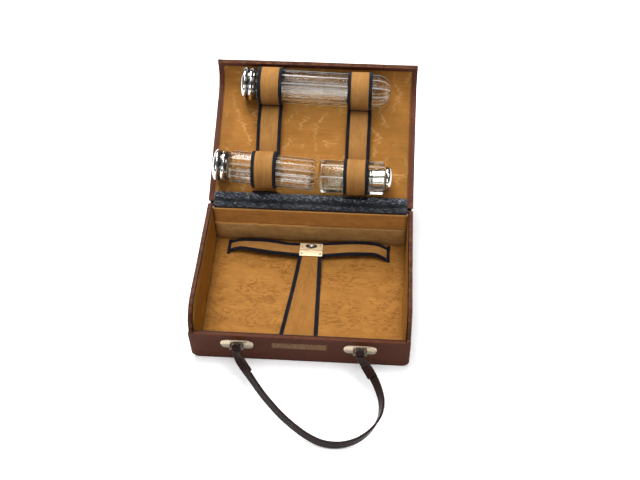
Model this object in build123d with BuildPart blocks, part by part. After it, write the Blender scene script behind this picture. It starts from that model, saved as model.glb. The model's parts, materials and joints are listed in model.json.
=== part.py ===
from build123d import *
from math import sin, cos, tan, radians, degrees, sqrt, atan2, pi
import os

os.makedirs("parts", exist_ok=True)

# ---------------------------------------------------------------------------
# Driving dimensions, in millimetres.  X runs along the case's width, -Y is its
# front, +Z is up, and the origin is the middle of the base's underside.
# ---------------------------------------------------------------------------
W = 240.0            # outer width of base and lid
D = 172.0            # outer depth of the base
SKIN = 1.2           # leather thickness
SIDE_T = 5.6         # side wall: leather, board, lining
FRONT_T = 4.8        # front wall, as thick as the lid that shuts down on it
REAR_T = 5.0
LINING = 0.8
FLOOR_Z = 6.0        # top of the floor lining
FRONT_H = 45.5       # low front wall
CORNER_R = 9.0       # rounded bottom long edges

HINGE_Y, HINGE_Z = 88.0, 60.5     # lid hinge axis, along X
OPEN_DEG = 21.5                   # lid's rise above level when open
SHUT_TURN = 155.0                 # turn from open to shut
WEDGE = 180.0 - OPEN_DEG - SHUT_TURN   # the side walls' top rises forward by this angle

ARC_Y, ARC_Z, ARC_R = -55.2, 43.2, 26.0   # rounded front of the side walls

LID_T = 4.5          # lid thickness
LID_GAP = 0.3        # rest gap between shut lid and wall tops
BORDER = 6.6         # turned-in leather border inside the lid

TUBE_R, TUBE_L, TUBE_A = 20.2, 177.6, -1.6
BOTTLE_R, BOTTLE_L, BOTTLE_A = 18.8, 119.8, -4.0
JAR_R, JAR_L = 19.0, 84.5
GLASS_T = 1.7

STRAP_T = 1.2        # inner straps
STRAP_W = 30.0       # lid straps, with binding
BIND_W = 5.0
BIND_T = 0.5

HANDLE_X = (-67.8, 66.2)          # middle of the two handle plates
HANDLE_AXIS = (-91.5, 29.5)       # (y, z) of the bars that the handle turns on
HANDLE_DROP = 14.2                # slope of the lying handle
HANDLE_W, HANDLE_T = 9.5, 2.6

CATCH_X = 2.4        # middle of the catch

# ---------------------------------------------------------------------------
half_w, half_d = W / 2, D / 2
slope = tan(radians(WEDGE))
c_open, s_open = cos(radians(OPEN_DEG)), sin(radians(OPEN_DEG))
c_shut, s_shut = cos(radians(180 - WEDGE)), sin(radians(180 - WEDGE))


def wall_top(y):
    """Height of the side walls' sloping top at depth y."""
    return HINGE_Z + (HINGE_Y - y) * slope


def lid_local(y, z):
    """A point of the shut lid, given in the case's (y, z), as the lid's own (s, t):
    s runs from the hinge along the lid, t points to its lined side."""
    dy, dz = y - HINGE_Y, z - HINGE_Z
    return dy * c_shut + dz * s_shut, -dy * s_shut + dz * c_shut


side = Plane(origin=(0, 0, 0), x_dir=(0, 1, 0), z_dir=(1, 0, 0))       # sketches in (y, z)
lid_side = Plane(origin=(0, HINGE_Y, HINGE_Z), x_dir=(0, c_open, s_open), z_dir=(1, 0, 0))
lid_top = Plane(origin=(0, HINGE_Y, HINGE_Z), x_dir=(1, 0, 0), z_dir=(0, -s_open, c_open))


def finish(builder, label):
    builder.part.label = label
    export_step(builder.part, "parts/" + label + ".step")


# ---------------------------------------------------------------------------
# Side wall profiles
# ---------------------------------------------------------------------------
def side_profile(inset, y_front, y_rear, z_low, front_step):
    """Outline of a side wall in (y, z): flat bottom, sloping top, rounded front corner.
    inset moves the top and the rounded corner inwards."""
    r = ARC_R - inset
    a = radians(90 - WEDGE)          # the top is tangent to the arc here
    tangent = (ARC_Y + r * cos(a), ARC_Z + r * sin(a))
    rear_top = (y_rear, wall_top(y_rear) - inset / cos(radians(WEDGE)))
    step = front_step
    on_arc = (ARC_Y - sqrt(r * r - (step - ARC_Z) ** 2), step)
    start = degrees(atan2(on_arc[1] - ARC_Z, on_arc[0] - ARC_Y))
    mid = radians((start + 90 - WEDGE) / 2)
    middle = (ARC_Y + r * cos(mid), ARC_Z + r * sin(mid))
    with BuildLine() as outline:
        Polyline((y_front, step), (y_front, z_low), (y_rear, z_low), rear_top, tangent)
        ThreePointArc(tangent, middle, on_arc)
        Line(on_arc, (y_front, step))
    return outline.line


def envelope(inset, x_low, x_high, mode):
    """The base's cross-section in (x, z) between x_low and x_high, with its bottom corners rounded,
    run through the whole depth."""
    with BuildSketch(Plane.XZ) as section:
        with Locations((0, 50)):
            Rectangle(W - 2 * inset, 100 - 2 * inset)
        fillet(section.vertices().group_by(Axis.Z)[0], CORNER_R - inset)
        with Locations(((x_low + x_high) / 2, 50)):
            Rectangle(x_high - x_low, 120, mode=Mode.INTERSECT)
    extrude(section.sketch, amount=half_d + 20, both=True, mode=mode)


# ---------------------------------------------------------------------------
# Base: boards
# ---------------------------------------------------------------------------
inner_x = half_w - SIDE_T                      # face of the side linings
board_in = inner_x + LINING                    # inner face of the side boards
board_out = half_w - SKIN
front_in = -half_d + FRONT_T                   # face of the front lining
rear_in = half_d - REAR_T                      # face of the rear lining
front_board_in = front_in - LINING
rear_board_in = rear_in + LINING
floor_board_top = FLOOR_Z - LINING
rear_board_top = 57.0

with BuildPart() as floor_board:
    with BuildSketch(Plane.XY.offset(SKIN)):
        with Locations((0, (front_board_in + rear_board_in) / 2)):
            Rectangle(2 * board_in, rear_board_in - front_board_in)
    extrude(amount=floor_board_top - SKIN)
    envelope(SKIN, -board_in, board_in, Mode.INTERSECT)
finish(floor_board, "floor_board")

for name, sign in (("left", -1), ("right", 1)):
    lo, hi = sorted((sign * board_in, sign * board_out))
    with BuildPart() as board:
        with BuildSketch(side.offset(sign * board_in)):
            with BuildLine():
                add(side_profile(SKIN, front_board_in, rear_board_in, SKIN, ARC_Z))
            make_face()
        extrude(amount=sign * (board_out - board_in))
        envelope(SKIN, lo, hi, Mode.INTERSECT)
    finish(board, "side_board_" + name)

    # what the leather goes round: the boards and the inside
    with BuildPart() as room:
        with BuildSketch(side.offset(sign * (board_out - 20))):
            with BuildLine():
                add(side_profile(SKIN, front_board_in, half_d + 5, SKIN, ARC_Z))
            make_face()
            with Locations((-half_d - 5, (FRONT_H - SKIN) / 2)):
                Rectangle(2 * (front_board_in + half_d + 5), FRONT_H - SKIN)
        extrude(amount=sign * 20)
        lo, hi = sorted((sign * (board_out - 20), sign * board_out))
        envelope(SKIN, lo, hi, Mode.INTERSECT)

    # leather: outer skin, and the top turned over the board as far as the lining's face
    lo, hi = sorted((sign * (half_w - CORNER_R), sign * half_w))
    with BuildPart() as leather:
        with BuildSketch(side.offset(sign * (half_w - CORNER_R))):
            with BuildLine():
                add(side_profile(0, -half_d + SKIN, half_d - SKIN, 0, FRONT_H))
            make_face()
        extrude(amount=sign * CORNER_R)
        envelope(0, lo, hi, Mode.INTERSECT)
        add(room.part, mode=Mode.SUBTRACT)
        with BuildSketch(side.offset(sign * inner_x)):
            with Locations((0, 60)):
                Rectangle(D + 20, 110)
        extrude(amount=-sign * 20, mode=Mode.SUBTRACT)
    finish(leather, "side_leather_" + name)

with BuildPart() as bottom_leather:
    with BuildSketch():
        Rectangle(2 * (half_w - CORNER_R), D - 2 * SKIN)
    extrude(amount=SKIN)
finish(bottom_leather, "bottom_leather")

PRONG_R, PRONG_DX = 0.9, 13.0
prong_spots = [(x + dx, HANDLE_AXIS[1]) for x in HANDLE_X for dx in (-PRONG_DX, PRONG_DX)]
front_plane = Plane.XZ.offset(half_d)          # the front wall's outer face, sketches in (x, z)

with BuildPart() as front_board:
    with BuildSketch(Plane.XZ.offset(-front_board_in)):
        with Locations((0, (SKIN + FRONT_H - SKIN) / 2)):
            Rectangle(2 * board_out, FRONT_H - 2 * SKIN)
    extrude(amount=half_d - SKIN + front_board_in)
    envelope(SKIN, -board_out, board_out, Mode.INTERSECT)
    with BuildSketch(front_plane):
        with Locations(*prong_spots):
            Circle(PRONG_R + 0.05)
    extrude(amount=-FRONT_T, mode=Mode.SUBTRACT)
finish(front_board, "front_board")

with BuildPart() as front_leather:
    with BuildSketch(Plane.XZ.offset(half_d - SKIN)):
        with Locations((0, FRONT_H / 2)):
            Rectangle(W, FRONT_H)
    extrude(amount=SKIN)
    envelope(0, -half_w, half_w, Mode.INTERSECT)
    with BuildSketch(side.offset(-inner_x)):   # turned over the front board's top
        with Locations(((front_in - half_d + SKIN) / 2, FRONT_H - SKIN / 2)):
            Rectangle(front_in + half_d - SKIN, SKIN)
    extrude(amount=2 * inner_x)
    with BuildSketch(front_plane):
        with Locations(*prong_spots):
            Circle(PRONG_R + 0.05)
    extrude(amount=-SKIN, mode=Mode.SUBTRACT)
finish(front_leather, "front_leather")

with BuildPart() as rear_board:
    with BuildSketch(Plane.XZ.offset(-rear_board_in)):
        with Locations((0, (SKIN + rear_board_top) / 2)):
            Rectangle(2 * board_out, rear_board_top - SKIN)
    extrude(amount=-(half_d - SKIN - rear_board_in))
    envelope(SKIN, -board_out, board_out, Mode.INTERSECT)
finish(rear_board, "rear_board")

with BuildPart() as rear_leather:
    with BuildSketch(Plane.XZ.offset(-(half_d - SKIN))):
        with Locations((0, wall_top(half_d) / 2)):
            Rectangle(W, wall_top(half_d))
    extrude(amount=-SKIN)
    envelope(0, -half_w, half_w, Mode.INTERSECT)
finish(rear_leather, "rear_leather")

# ---------------------------------------------------------------------------
# Base: linings
# ---------------------------------------------------------------------------
with BuildPart() as floor_lining:
    with BuildSketch(Plane.XY.offset(floor_board_top)):
        with Locations((0, (front_in + rear_in) / 2)):
            Rectangle(2 * inner_x, rear_in - front_in)
    extrude(amount=LINING)
finish(floor_lining, "floor_lining")

for name, sign in (("left", -1), ("right", 1)):
    with BuildPart() as lining:
        with BuildSketch(side.offset(sign * inner_x)):
            with BuildLine():
                add(side_profile(SKIN, front_board_in, rear_board_in, floor_board_top, ARC_Z))
            make_face()
        extrude(amount=sign * LINING)
    finish(lining, "side_lining_" + name)

with BuildPart() as front_lining:
    with BuildSketch(Plane.XZ.offset(-front_in)):
        with Locations((0, (floor_board_top + FRONT_H - SKIN) / 2)):
            Rectangle(2 * inner_x, FRONT_H - SKIN - floor_board_top)
    extrude(amount=LINING)
    with BuildSketch(front_plane):
        with Locations(*prong_spots):
            Circle(PRONG_R + 0.05)
    extrude(amount=-FRONT_T, mode=Mode.SUBTRACT)
finish(front_lining, "front_lining")

with BuildPart() as rear_lining:
    with BuildSketch(Plane.XZ.offset(-rear_in)):
        with Locations((0, (floor_board_top + rear_board_top) / 2)):
            Rectangle(2 * inner_x, rear_board_top - floor_board_top)
    extrude(amount=-LINING)
finish(rear_lining, "rear_lining")

POCKET_TOP, POCKET_T, POCKET_OUT = 33.0, 1.0, 3.0
with BuildPart() as rear_pocket:               # shallow pocket, open at its top
    with BuildSketch(Plane.XZ.offset(-rear_in)):
        with Locations((0, (FLOOR_Z + POCKET_TOP) / 2)):
            Rectangle(2 * inner_x - 1, POCKET_TOP - FLOOR_Z)
    extrude(amount=POCKET_OUT)
    with BuildSketch(Plane.XZ.offset(-rear_in)):
        with Locations((0, (FLOOR_Z + 2 + POCKET_TOP + 10) / 2)):
            Rectangle(2 * inner_x - 5, POCKET_TOP + 10 - FLOOR_Z - 2)
    extrude(amount=POCKET_OUT - POCKET_T, mode=Mode.SUBTRACT)
finish(rear_pocket, "rear_pocket")

# ---------------------------------------------------------------------------
# Hinge leathers
# ---------------------------------------------------------------------------
GUSSET_X = inner_x - 1.0
SPINE_R = 1.9

with BuildPart() as gusset_base:               # padded roll along the rear wall's top
    with BuildSketch(side.offset(-GUSSET_X)):
        with Locations(((rear_in + half_d - SKIN) / 2, rear_board_top + 1.7)):
            RectangleRounded(half_d - SKIN - rear_in - 0.02, 3.4, 1.5)
    extrude(amount=2 * GUSSET_X)
finish(gusset_base, "hinge_gusset_base")

with BuildPart() as hinge_leather:             # rolled leather hinge on the back edge
    with BuildSketch(side.offset(-half_w + 1)):
        with Locations((HINGE_Y, HINGE_Z)):
            Circle(SPINE_R)
        with Locations((half_d + 0.6, HINGE_Z - 6)):
            Rectangle(1.2, 12)
    extrude(amount=W - 2)
finish(hinge_leather, "hinge_leather")

# ---------------------------------------------------------------------------
# Lid.  s runs from the hinge along the lid, t towards its lined side.
# ---------------------------------------------------------------------------
cs, ct = lid_local(ARC_Y, ARC_Z)               # centre of the curled front
lip_z = FRONT_H + LID_GAP                      # the lip's end, when shut


def lip_angle(r, back=0.0):
    """Direction, seen from the curl's centre, where the skin of radius r ends; back is how far
    short of the lip it stops."""
    y = ARC_Y - sqrt(r * r - (lip_z - ARC_Z) ** 2)
    s, t = lid_local(y, lip_z)
    return degrees(atan2(t - ct, s - cs)) - degrees(back / r)


def lid_layer(t_out, t_in, s_start, back=0.0):
    """Closed (s, t) outline of one layer of the lid between depths t_out and t_in."""
    r_out, r_in = ct - t_out, ct - t_in
    a_out, a_in = lip_angle(r_out, back), lip_angle(r_in, back)

    def on(r, a):
        return cs + r * cos(radians(a)), ct + r * sin(radians(a))

    with BuildLine() as outline:
        Line((s_start, t_out), (cs, t_out))
        ThreePointArc((cs, t_out), on(r_out, (a_out - 90) / 2), on(r_out, a_out))
        Line(on(r_out, a_out), on(r_in, a_in))
        ThreePointArc(on(r_in, a_in), on(r_in, (a_in - 90) / 2), (cs, t_in))
        Polyline((cs, t_in), (s_start, t_in), (s_start, t_out))
    return outline.line


def lid_slab(half_width, t_out, t_in, s_start, back=0.0, mode=Mode.ADD):
    with BuildSketch(lid_side.offset(-half_width)) as face:
        with BuildLine():
            add(lid_layer(t_out, t_in, s_start, back))
        make_face()
    extrude(face.sketch, amount=2 * half_width, mode=mode)


t_face = -LID_GAP                              # inner face of the lid's leather
t_back = t_face - LID_T                        # outer face
t_board_in = t_face - 1.0
t_board_out = t_back + SKIN
lid_start = SPINE_R + 0.4
window_x = half_w - BORDER
window_s = 7.6
lining_top = 0.2

with BuildPart() as lid_board:
    lid_slab(half_w - SKIN, t_board_out, t_board_in, lid_start + SKIN, SKIN)
finish(lid_board, "lid_board")

with BuildPart() as lid_leather:
    lid_slab(half_w, t_back, t_board_in, lid_start)
    lid_slab(half_w - SKIN, t_board_out, t_board_in + 1, lid_start + SKIN, SKIN, Mode.SUBTRACT)
finish(lid_leather, "lid_leather")

with BuildPart() as lid_border:                # the leather's turned-in edge, a frame
    lid_slab(half_w, t_board_in, t_face, lid_start)
    lid_slab(window_x, t_board_in - 1, t_face + 1, window_s, BORDER, Mode.SUBTRACT)
finish(lid_border, "lid_border")

with BuildPart() as lid_lining:
    lid_slab(window_x - 0.1, t_board_in, lining_top, window_s + 0.1, BORDER + 0.1)
finish(lid_lining, "lid_lining")

with BuildPart() as gusset_lid:                # padded roll where the lid's lining starts
    with BuildSketch(lid_side.offset(-GUSSET_X)):
        with Locations((window_s + 2.6, lining_top + 1.55)):
            RectangleRounded(4.8, 3.1, 1.4)
    extrude(amount=2 * GUSSET_X)
finish(gusset_lid, "hinge_gusset_lid")

# ---------------------------------------------------------------------------
# Lid straps: one ribbon each, sewn down between a large loop, a raised bridge
# and a small loop; navy binding lies along both edges.
# ---------------------------------------------------------------------------
TUBE_S, TUBE_T = 143.1, lining_top + TUBE_R + 0.5          # tube axis at its capped end
TUBE_X = -89.1
BOTTLE_S, BOTTLE_T, BOTTLE_X = 39.4, lining_top + 19.7, -113.8
JAR_S, JAR_T, JAR_X = 30.2, lining_top + JAR_R + 0.4, 9.6

TUBE_LOOP_R, BOTTLE_LOOP_R, JAR_LOOP_R = 21.1, 20.3, 19.5
LEFT_X, RIGHT_X = -53.5, 52.6


def axis_s(s0, x0, angle, x):
    return s0 + (x - x0) * tan(radians(angle))


def loop_region(s, t, r, leg):
    """Loop of radius r round a vessel's axis, with a straight leg down to the lining on the side
    (-1 towards the hinge, 1 away from it) where the ribbon's bridge starts."""
    with Locations((s, t)):
        Circle(r)
    with Locations((s + leg * r / 2, (t + lining_top) / 2)):
        Rectangle(r, t - lining_top)


def loop_cut(s, t, r, leg):
    with Locations((s, t)):
        Circle(r, mode=Mode.SUBTRACT)
    with Locations((s + leg * r / 2, (t + lining_top) / 2 - 2)):
        Rectangle(r, t - lining_top + 4, mode=Mode.SUBTRACT)


def bridge_region(s_a, s_b, rise, low, high, mode=Mode.ADD):
    """Raised bridge of the ribbon between two sewn-down feet."""
    mid = (s_a + s_b) / 2
    with BuildLine() as bridge:
        ThreePointArc((s_a, lining_top + low), (mid, lining_top + rise + low), (s_b, lining_top + low))
        Line((s_b, lining_top + low), (s_b, lining_top + high))
        ThreePointArc((s_b, lining_top + high), (mid, lining_top + rise + high), (s_a, lining_top + high))
        Line((s_a, lining_top + high), (s_a, lining_top + low))
    make_face(bridge.edges(), mode=mode)


def below_cut():
    """Nothing of a ribbon lies below the lining, nor outside its curled front."""
    with Locations((90, lining_top - 20)):
        Rectangle(260, 40, mode=Mode.SUBTRACT)
    r = ct - lining_top
    with BuildLine() as outside:
        ThreePointArc((cs, lining_top), (cs + r * sin(pi / 4), ct - r * cos(pi / 4)), (cs + r, ct))
        Polyline((cs + r, ct), (cs + r, ct + 30), (cs + 60, ct + 30), (cs + 60, -30), (cs, -30),
                 (cs, lining_top))
    make_face(outside.edges(), mode=Mode.SUBTRACT)


for name, x_mid, s_big, small in (
    ("left", LEFT_X, axis_s(TUBE_S, TUBE_X, TUBE_A, LEFT_X),
     (axis_s(BOTTLE_S, BOTTLE_X, BOTTLE_A, LEFT_X), BOTTLE_T, BOTTLE_LOOP_R)),
    ("right", RIGHT_X, axis_s(TUBE_S, TUBE_X, TUBE_A, RIGHT_X), (JAR_S, JAR_T, JAR_LOOP_R)),
):
    s_low, t_low, r_low = small
    foot_a, foot_b = s_low + r_low + STRAP_T, s_big - TUBE_LOOP_R - STRAP_T
    rise = 8.5
    with BuildPart() as strap:
        with BuildSketch(lid_side.offset(x_mid - STRAP_W / 2)) as ribbon:
            loop_region(s_big, TUBE_T, TUBE_LOOP_R + STRAP_T, -1)
            loop_region(s_low, t_low, r_low + STRAP_T, 1)
            loop_cut(s_big, TUBE_T, TUBE_LOOP_R, -1)
            loop_cut(s_low, t_low, r_low, 1)
            bridge_region(foot_a, foot_b, rise, 0, STRAP_T)
            below_cut()
        extrude(amount=STRAP_W)
    finish(strap, "lid_strap_" + name)

    with BuildPart() as binding:
        for x_edge in (x_mid - STRAP_W / 2, x_mid + STRAP_W / 2 - BIND_W):
            with BuildSketch(lid_side.offset(x_edge)) as edge:
                loop_region(s_big, TUBE_T, TUBE_LOOP_R + STRAP_T + BIND_T, -1)
                loop_region(s_low, t_low, r_low + STRAP_T + BIND_T, 1)
                bridge_region(foot_a, foot_b, rise, STRAP_T, STRAP_T + BIND_T)
                loop_cut(s_big, TUBE_T, TUBE_LOOP_R + STRAP_T, -1)
                loop_cut(s_low, t_low, r_low + STRAP_T, 1)
                bridge_region(foot_a, foot_b, rise, -6, STRAP_T, Mode.SUBTRACT)
                below_cut()
            extrude(edge.sketch, amount=BIND_W)
    finish(binding, "lid_strap_" + name + "_binding")

# ---------------------------------------------------------------------------
# Glass vessels and their tops, turned about axes that lie just off the lid's width
# ---------------------------------------------------------------------------
def vessel_axis(x, s, t, angle):
    a = radians(angle)
    origin = (x, HINGE_Y + s * c_open - t * s_open, HINGE_Z + s * s_open + t * c_open)
    along = (cos(a), sin(a) * c_open, sin(a) * s_open)
    across = (sin(a), -cos(a) * c_open, -cos(a) * s_open)
    return Plane(origin=origin, x_dir=along, z_dir=across), Axis(origin, along)


def turned(plane, axis, points):
    with BuildSketch(plane) as face:
        with BuildLine():
            Polyline(*points, close=True)
        make_face()
    revolve(face.sketch, axis=axis)


tube_plane, tube_axis = vessel_axis(TUBE_X, TUBE_S, TUBE_T, TUBE_A)
bottle_plane, bottle_axis = vessel_axis(BOTTLE_X, BOTTLE_S, BOTTLE_T, BOTTLE_A)
jar_plane, jar_axis = vessel_axis(JAR_X, JAR_S, JAR_T, 0.0)

with BuildPart() as tube_glass:
    turned(tube_plane, tube_axis, [
        (4.2, 13.1), (4.2, 14.8), (17.6, 14.8), (18.6, 17.5), (20.5, TUBE_R), (163, TUBE_R),
        (170.5, 17.6), (175.6, 12.6), (TUBE_L, 6.5), (TUBE_L, 0), (175.9, 0), (175.9, 6.0),
        (174.2, 11.6), (169.6, 16.2), (162.6, TUBE_R - GLASS_T), (21.4, TUBE_R - GLASS_T),
        (19.8, 16.2), (18.8, 13.1)])
finish(tube_glass, "tube_glass")

with BuildPart() as tube_cap:
    turned(tube_plane, tube_axis, [
        (0, 0), (0, 7), (0.7, 14.5), (2.4, 18.8), (4.2, 20.2), (6.4, 20.2), (7.6, 18.6),
        (8.8, 17.8), (10.2, 18.6), (11.2, 19.6), (13.6, 19.6), (14.8, 18.2), (16.8, 18.2),
        (16.8, 17.4), (14.4, 17.4), (13.2, 18.8), (11.5, 18.8), (10.4, 17.8), (8.8, 17.0),
        (7.3, 17.8), (6.1, 19.4), (4.5, 19.4), (3.0, 18.0), (1.5, 14.2), (0.8, 7), (0.8, 0)])
finish(tube_cap, "tube_cap")

with BuildPart() as tube_cap_liner:
    turned(tube_plane, tube_axis, [
        (1.9, 0), (1.9, 14.0), (3.0, 16.95), (16.4, 16.95), (16.4, 15.1), (3.9, 15.1), (3.9, 0)])
finish(tube_cap_liner, "tube_cap_liner")

with BuildPart() as bottle_glass:
    turned(bottle_plane, bottle_axis, [
        (4.4, 12.0), (4.4, 13.6), (17.8, 13.6), (19.0, 16.0), (21.5, BOTTLE_R), (116.8, BOTTLE_R),
        (119.3, 17.3), (BOTTLE_L, 15.5), (BOTTLE_L, 0), (117.6, 0), (117.6, 15.5), (116.0, BOTTLE_R - GLASS_T),
        (22.4, BOTTLE_R - GLASS_T), (20.2, 14.8), (18.6, 12.0)])
finish(bottle_glass, "bottle_glass")

with BuildPart() as bottle_cap:
    turned(bottle_plane, bottle_axis, [
        (0, 0), (0, 8), (0.8, 14.5), (2.4, 17.8), (4.2, 19.2), (6.6, 19.2), (8.2, 17.2),
        (9.4, 16.4), (10.6, 17.4), (11.8, 18.2), (14.0, 18.2), (15.4, 16.6), (17.4, 16.2),
        (17.4, 15.4), (15.0, 15.8), (13.6, 17.4), (12.2, 17.4), (11.2, 16.6), (9.4, 15.5),
        (7.7, 16.6), (6.2, 18.4), (4.5, 18.4), (3.1, 17.1), (1.6, 14.1), (0.8, 8), (0.8, 0)])
finish(bottle_cap, "bottle_cap")

with BuildPart() as bottle_cap_liner:
    turned(bottle_plane, bottle_axis, [
        (2.0, 0), (2.0, 13.5), (3.2, 15.35), (16.6, 15.35), (16.6, 13.9), (4.1, 13.9), (4.1, 0)])
finish(bottle_cap_liner, "bottle_cap_liner")

with BuildPart() as jar_glass:
    turned(jar_plane, jar_axis, [
        (0, 0), (0, 15.5), (0.8, 17.8), (2.6, JAR_R), (75.4, JAR_R), (75.4, 10.7), (57, 10.7),
        (51, 17.2), (4.4, 17.2), (3.0, 15.6), (2.6, 0)])
finish(jar_glass, "jar_glass")

with BuildPart() as jar_cap:
    turned(jar_plane, jar_axis, [
        (58.5, 9.6), (58.5, 10.4), (76.6, 10.4), (76.6, 13.2), (77.8, 14.3), (80.2, 14.3), (82.2, 13.1),
        (83.7, 10.2), (JAR_L, 6), (JAR_L, 0), (83.7, 0), (83.7, 6), (82.9, 9.7), (81.7, 12.4),
        (80.0, 13.5), (78.1, 13.5), (77.4, 12.8), (77.4, 9.6)])
finish(jar_cap, "jar_cap")

with BuildPart() as jar_cap_washer:
    turned(jar_plane, jar_axis, [(75.7, 10.7), (75.7, 13.0), (76.5, 13.0), (76.5, 10.7)])
finish(jar_cap_washer, "jar_cap_washer")

# ---------------------------------------------------------------------------
# Cross band in the base, standing off the floor, with the catch on its middle
# ---------------------------------------------------------------------------
BAND_Y0, BAND_Y1 = 52.0, 71.0
BAND_Z = 12.0                                  # underside
BAND_T = 1.2
band_top = BAND_Z + BAND_T

with BuildPart() as cross_band:
    with BuildSketch(Plane.XZ.offset(-BAND_Y1)):
        with BuildLine():
            Polyline((-98, FLOOR_Z), (-94.5, FLOOR_Z), (-85, BAND_Z), (82, BAND_Z), (91, FLOOR_Z),
                     (95, FLOOR_Z), (95, FLOOR_Z + BAND_T), (91.6, FLOOR_Z + BAND_T),
                     (82.5, band_top), (-85.5, band_top), (-95.1, FLOOR_Z + BAND_T),
                     (-98, FLOOR_Z + BAND_T), close=True)
        make_face()
    extrude(amount=BAND_Y1 - BAND_Y0)
finish(cross_band, "cross_band")

with BuildPart() as cross_band_binding:
    for y_edge in (BAND_Y1, BAND_Y0 + 2.2):
        with BuildSketch(Plane.XZ.offset(-y_edge)) as edge:
            with BuildLine():
                Polyline((91.6, FLOOR_Z + BAND_T), (82.5, band_top), (-85.5, band_top),
                         (-95.1, FLOOR_Z + BAND_T), (-95.1, FLOOR_Z + BAND_T + 0.4),
                         (-85.5, band_top + 0.4), (82.5, band_top + 0.4),
                         (91.6, FLOOR_Z + BAND_T + 0.4), close=True)
            make_face()
        extrude(edge.sketch, amount=2.2)
finish(cross_band_binding, "cross_band_binding")

with BuildPart() as cross_band_tabs:           # navy bars sewn over the band's two ends
    with BuildSketch(Plane.XY.offset(FLOOR_Z + BAND_T)):
        with Locations((-96.6, (BAND_Y0 + BAND_Y1) / 2), (93.6, (BAND_Y0 + BAND_Y1) / 2)):
            Rectangle(2.6, BAND_Y1 - BAND_Y0 + 1)
    extrude(amount=1.4)
finish(cross_band_tabs, "cross_band_tabs")

CATCH_W, CATCH_Y0, CATCH_Y1 = 27.0, 57.5, 66.5
BOX_TOP = band_top + 2.2
PLATE_TOP = BOX_TOP + 0.8
BUTTON_Y = 62.7
BUTTON_A, BUTTON_B = 12.3, 5.4                 # oval button
PRESS = 0.8
TONGUE_W, TONGUE_END = 7.6, 58.8
catch_mid = (CATCH_X, (CATCH_Y0 + CATCH_Y1) / 2)
notch_y = TONGUE_END + 0.4

with BuildPart() as catch_box:
    with BuildSketch(Plane.XY.offset(band_top)):
        with Locations(catch_mid):
            Rectangle(CATCH_W - 1, CATCH_Y1 - CATCH_Y0)
    extrude(amount=BOX_TOP - band_top)
    with BuildSketch(Plane.XY.offset(band_top + 0.4)):
        with Locations(catch_mid):
            Rectangle(CATCH_W - 2, CATCH_Y1 - CATCH_Y0 - 1)
    extrude(amount=10, mode=Mode.SUBTRACT)
    with BuildSketch(Plane.XY.offset(BOX_TOP - 0.6)):
        with Locations((CATCH_X, CATCH_Y0)):
            Rectangle(TONGUE_W + 0.8, 3)
    extrude(amount=10, mode=Mode.SUBTRACT)
finish(catch_box, "catch_box")

with BuildPart() as catch_plate:
    with BuildSketch(Plane.XY.offset(BOX_TOP)) as plate_face:
        with Locations(catch_mid):
            RectangleRounded(CATCH_W, CATCH_Y1 - CATCH_Y0, 0.6)
        with Locations((CATCH_X, BUTTON_Y)):
            Ellipse(BUTTON_A / 2 + 0.12, BUTTON_B / 2 + 0.12, mode=Mode.SUBTRACT)
        with Locations((CATCH_X, (CATCH_Y0 - 1 + notch_y) / 2)):
            Rectangle(TONGUE_W + 0.8, notch_y - CATCH_Y0 + 1, mode=Mode.SUBTRACT)
    extrude(amount=PLATE_TOP - BOX_TOP)
finish(catch_plate, "catch_plate")

with BuildPart() as catch_pins:
    with BuildSketch(Plane.XY.offset(PLATE_TOP)):
        with Locations((CATCH_X - 10.6, 60.6), (CATCH_X + 10.6, 64.2)):
            Circle(0.6)
    extrude(amount=0.4)
finish(catch_pins, "catch_pins")

FLANGE_Z = BOX_TOP - 0.9
with BuildPart() as catch_button:
    with BuildSketch(Plane.XY.offset(FLANGE_Z)):
        with Locations((CATCH_X, BUTTON_Y)):
            Ellipse(BUTTON_A / 2 + 0.8, BUTTON_B / 2 + 0.4)
    extrude(amount=0.8)
    with BuildSketch(Plane.XY.offset(FLANGE_Z + 0.8)):
        with Locations((CATCH_X, BUTTON_Y)):
            Ellipse(BUTTON_A / 2, BUTTON_B / 2)
    extrude(amount=PLATE_TOP + 0.6 - FLANGE_Z - 0.8)
    with BuildSketch(Plane.XY.offset(PLATE_TOP + 0.6)) as low:
        with Locations((CATCH_X, BUTTON_Y)):
            Ellipse(BUTTON_A / 2, BUTTON_B / 2)
    with BuildSketch(Plane.XY.offset(PLATE_TOP + 2.0)) as high:
        with Locations((CATCH_X, BUTTON_Y)):
            Ellipse(BUTTON_A / 2 - 2.4, BUTTON_B / 2 - 1.6)
    loft([low.sketch, high.sketch])
finish(catch_button, "catch_button")

with BuildPart() as catch_spring:              # flat ring spring under the button's flange
    with BuildSketch(Plane.XY.offset(band_top + 0.42)):
        with Locations((CATCH_X, BUTTON_Y)):
            Ellipse(BUTTON_A / 2, BUTTON_B / 2)
            Ellipse(BUTTON_A / 2 - 1, BUTTON_B / 2 - 1, mode=Mode.SUBTRACT)
    extrude(amount=FLANGE_Z - band_top - 0.44)
finish(catch_spring, "catch_spring")

# ---------------------------------------------------------------------------
# Tapered strap, from the front of the floor up to the catch
# ---------------------------------------------------------------------------
HASP_Y0, HASP_Y1 = -78.4, 56.8
HASP_T = 1.2
hasp_low = [(HASP_Y0, FLOOR_Z + 0.1), (2, FLOOR_Z + 0.5), (49.5, band_top + 0.8), (HASP_Y1, band_top + 0.8)]
hasp_top = [(y, z + HASP_T) for y, z in hasp_low]


def hasp_edge(sign, y):
    """x of the strap's left (-1) or right (1) edge at depth y."""
    f = (y - HASP_Y0) / (HASP_Y1 - HASP_Y0)
    return -28.3 + f * 17.4 if sign < 0 else 18.1 - f * 2.8


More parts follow.
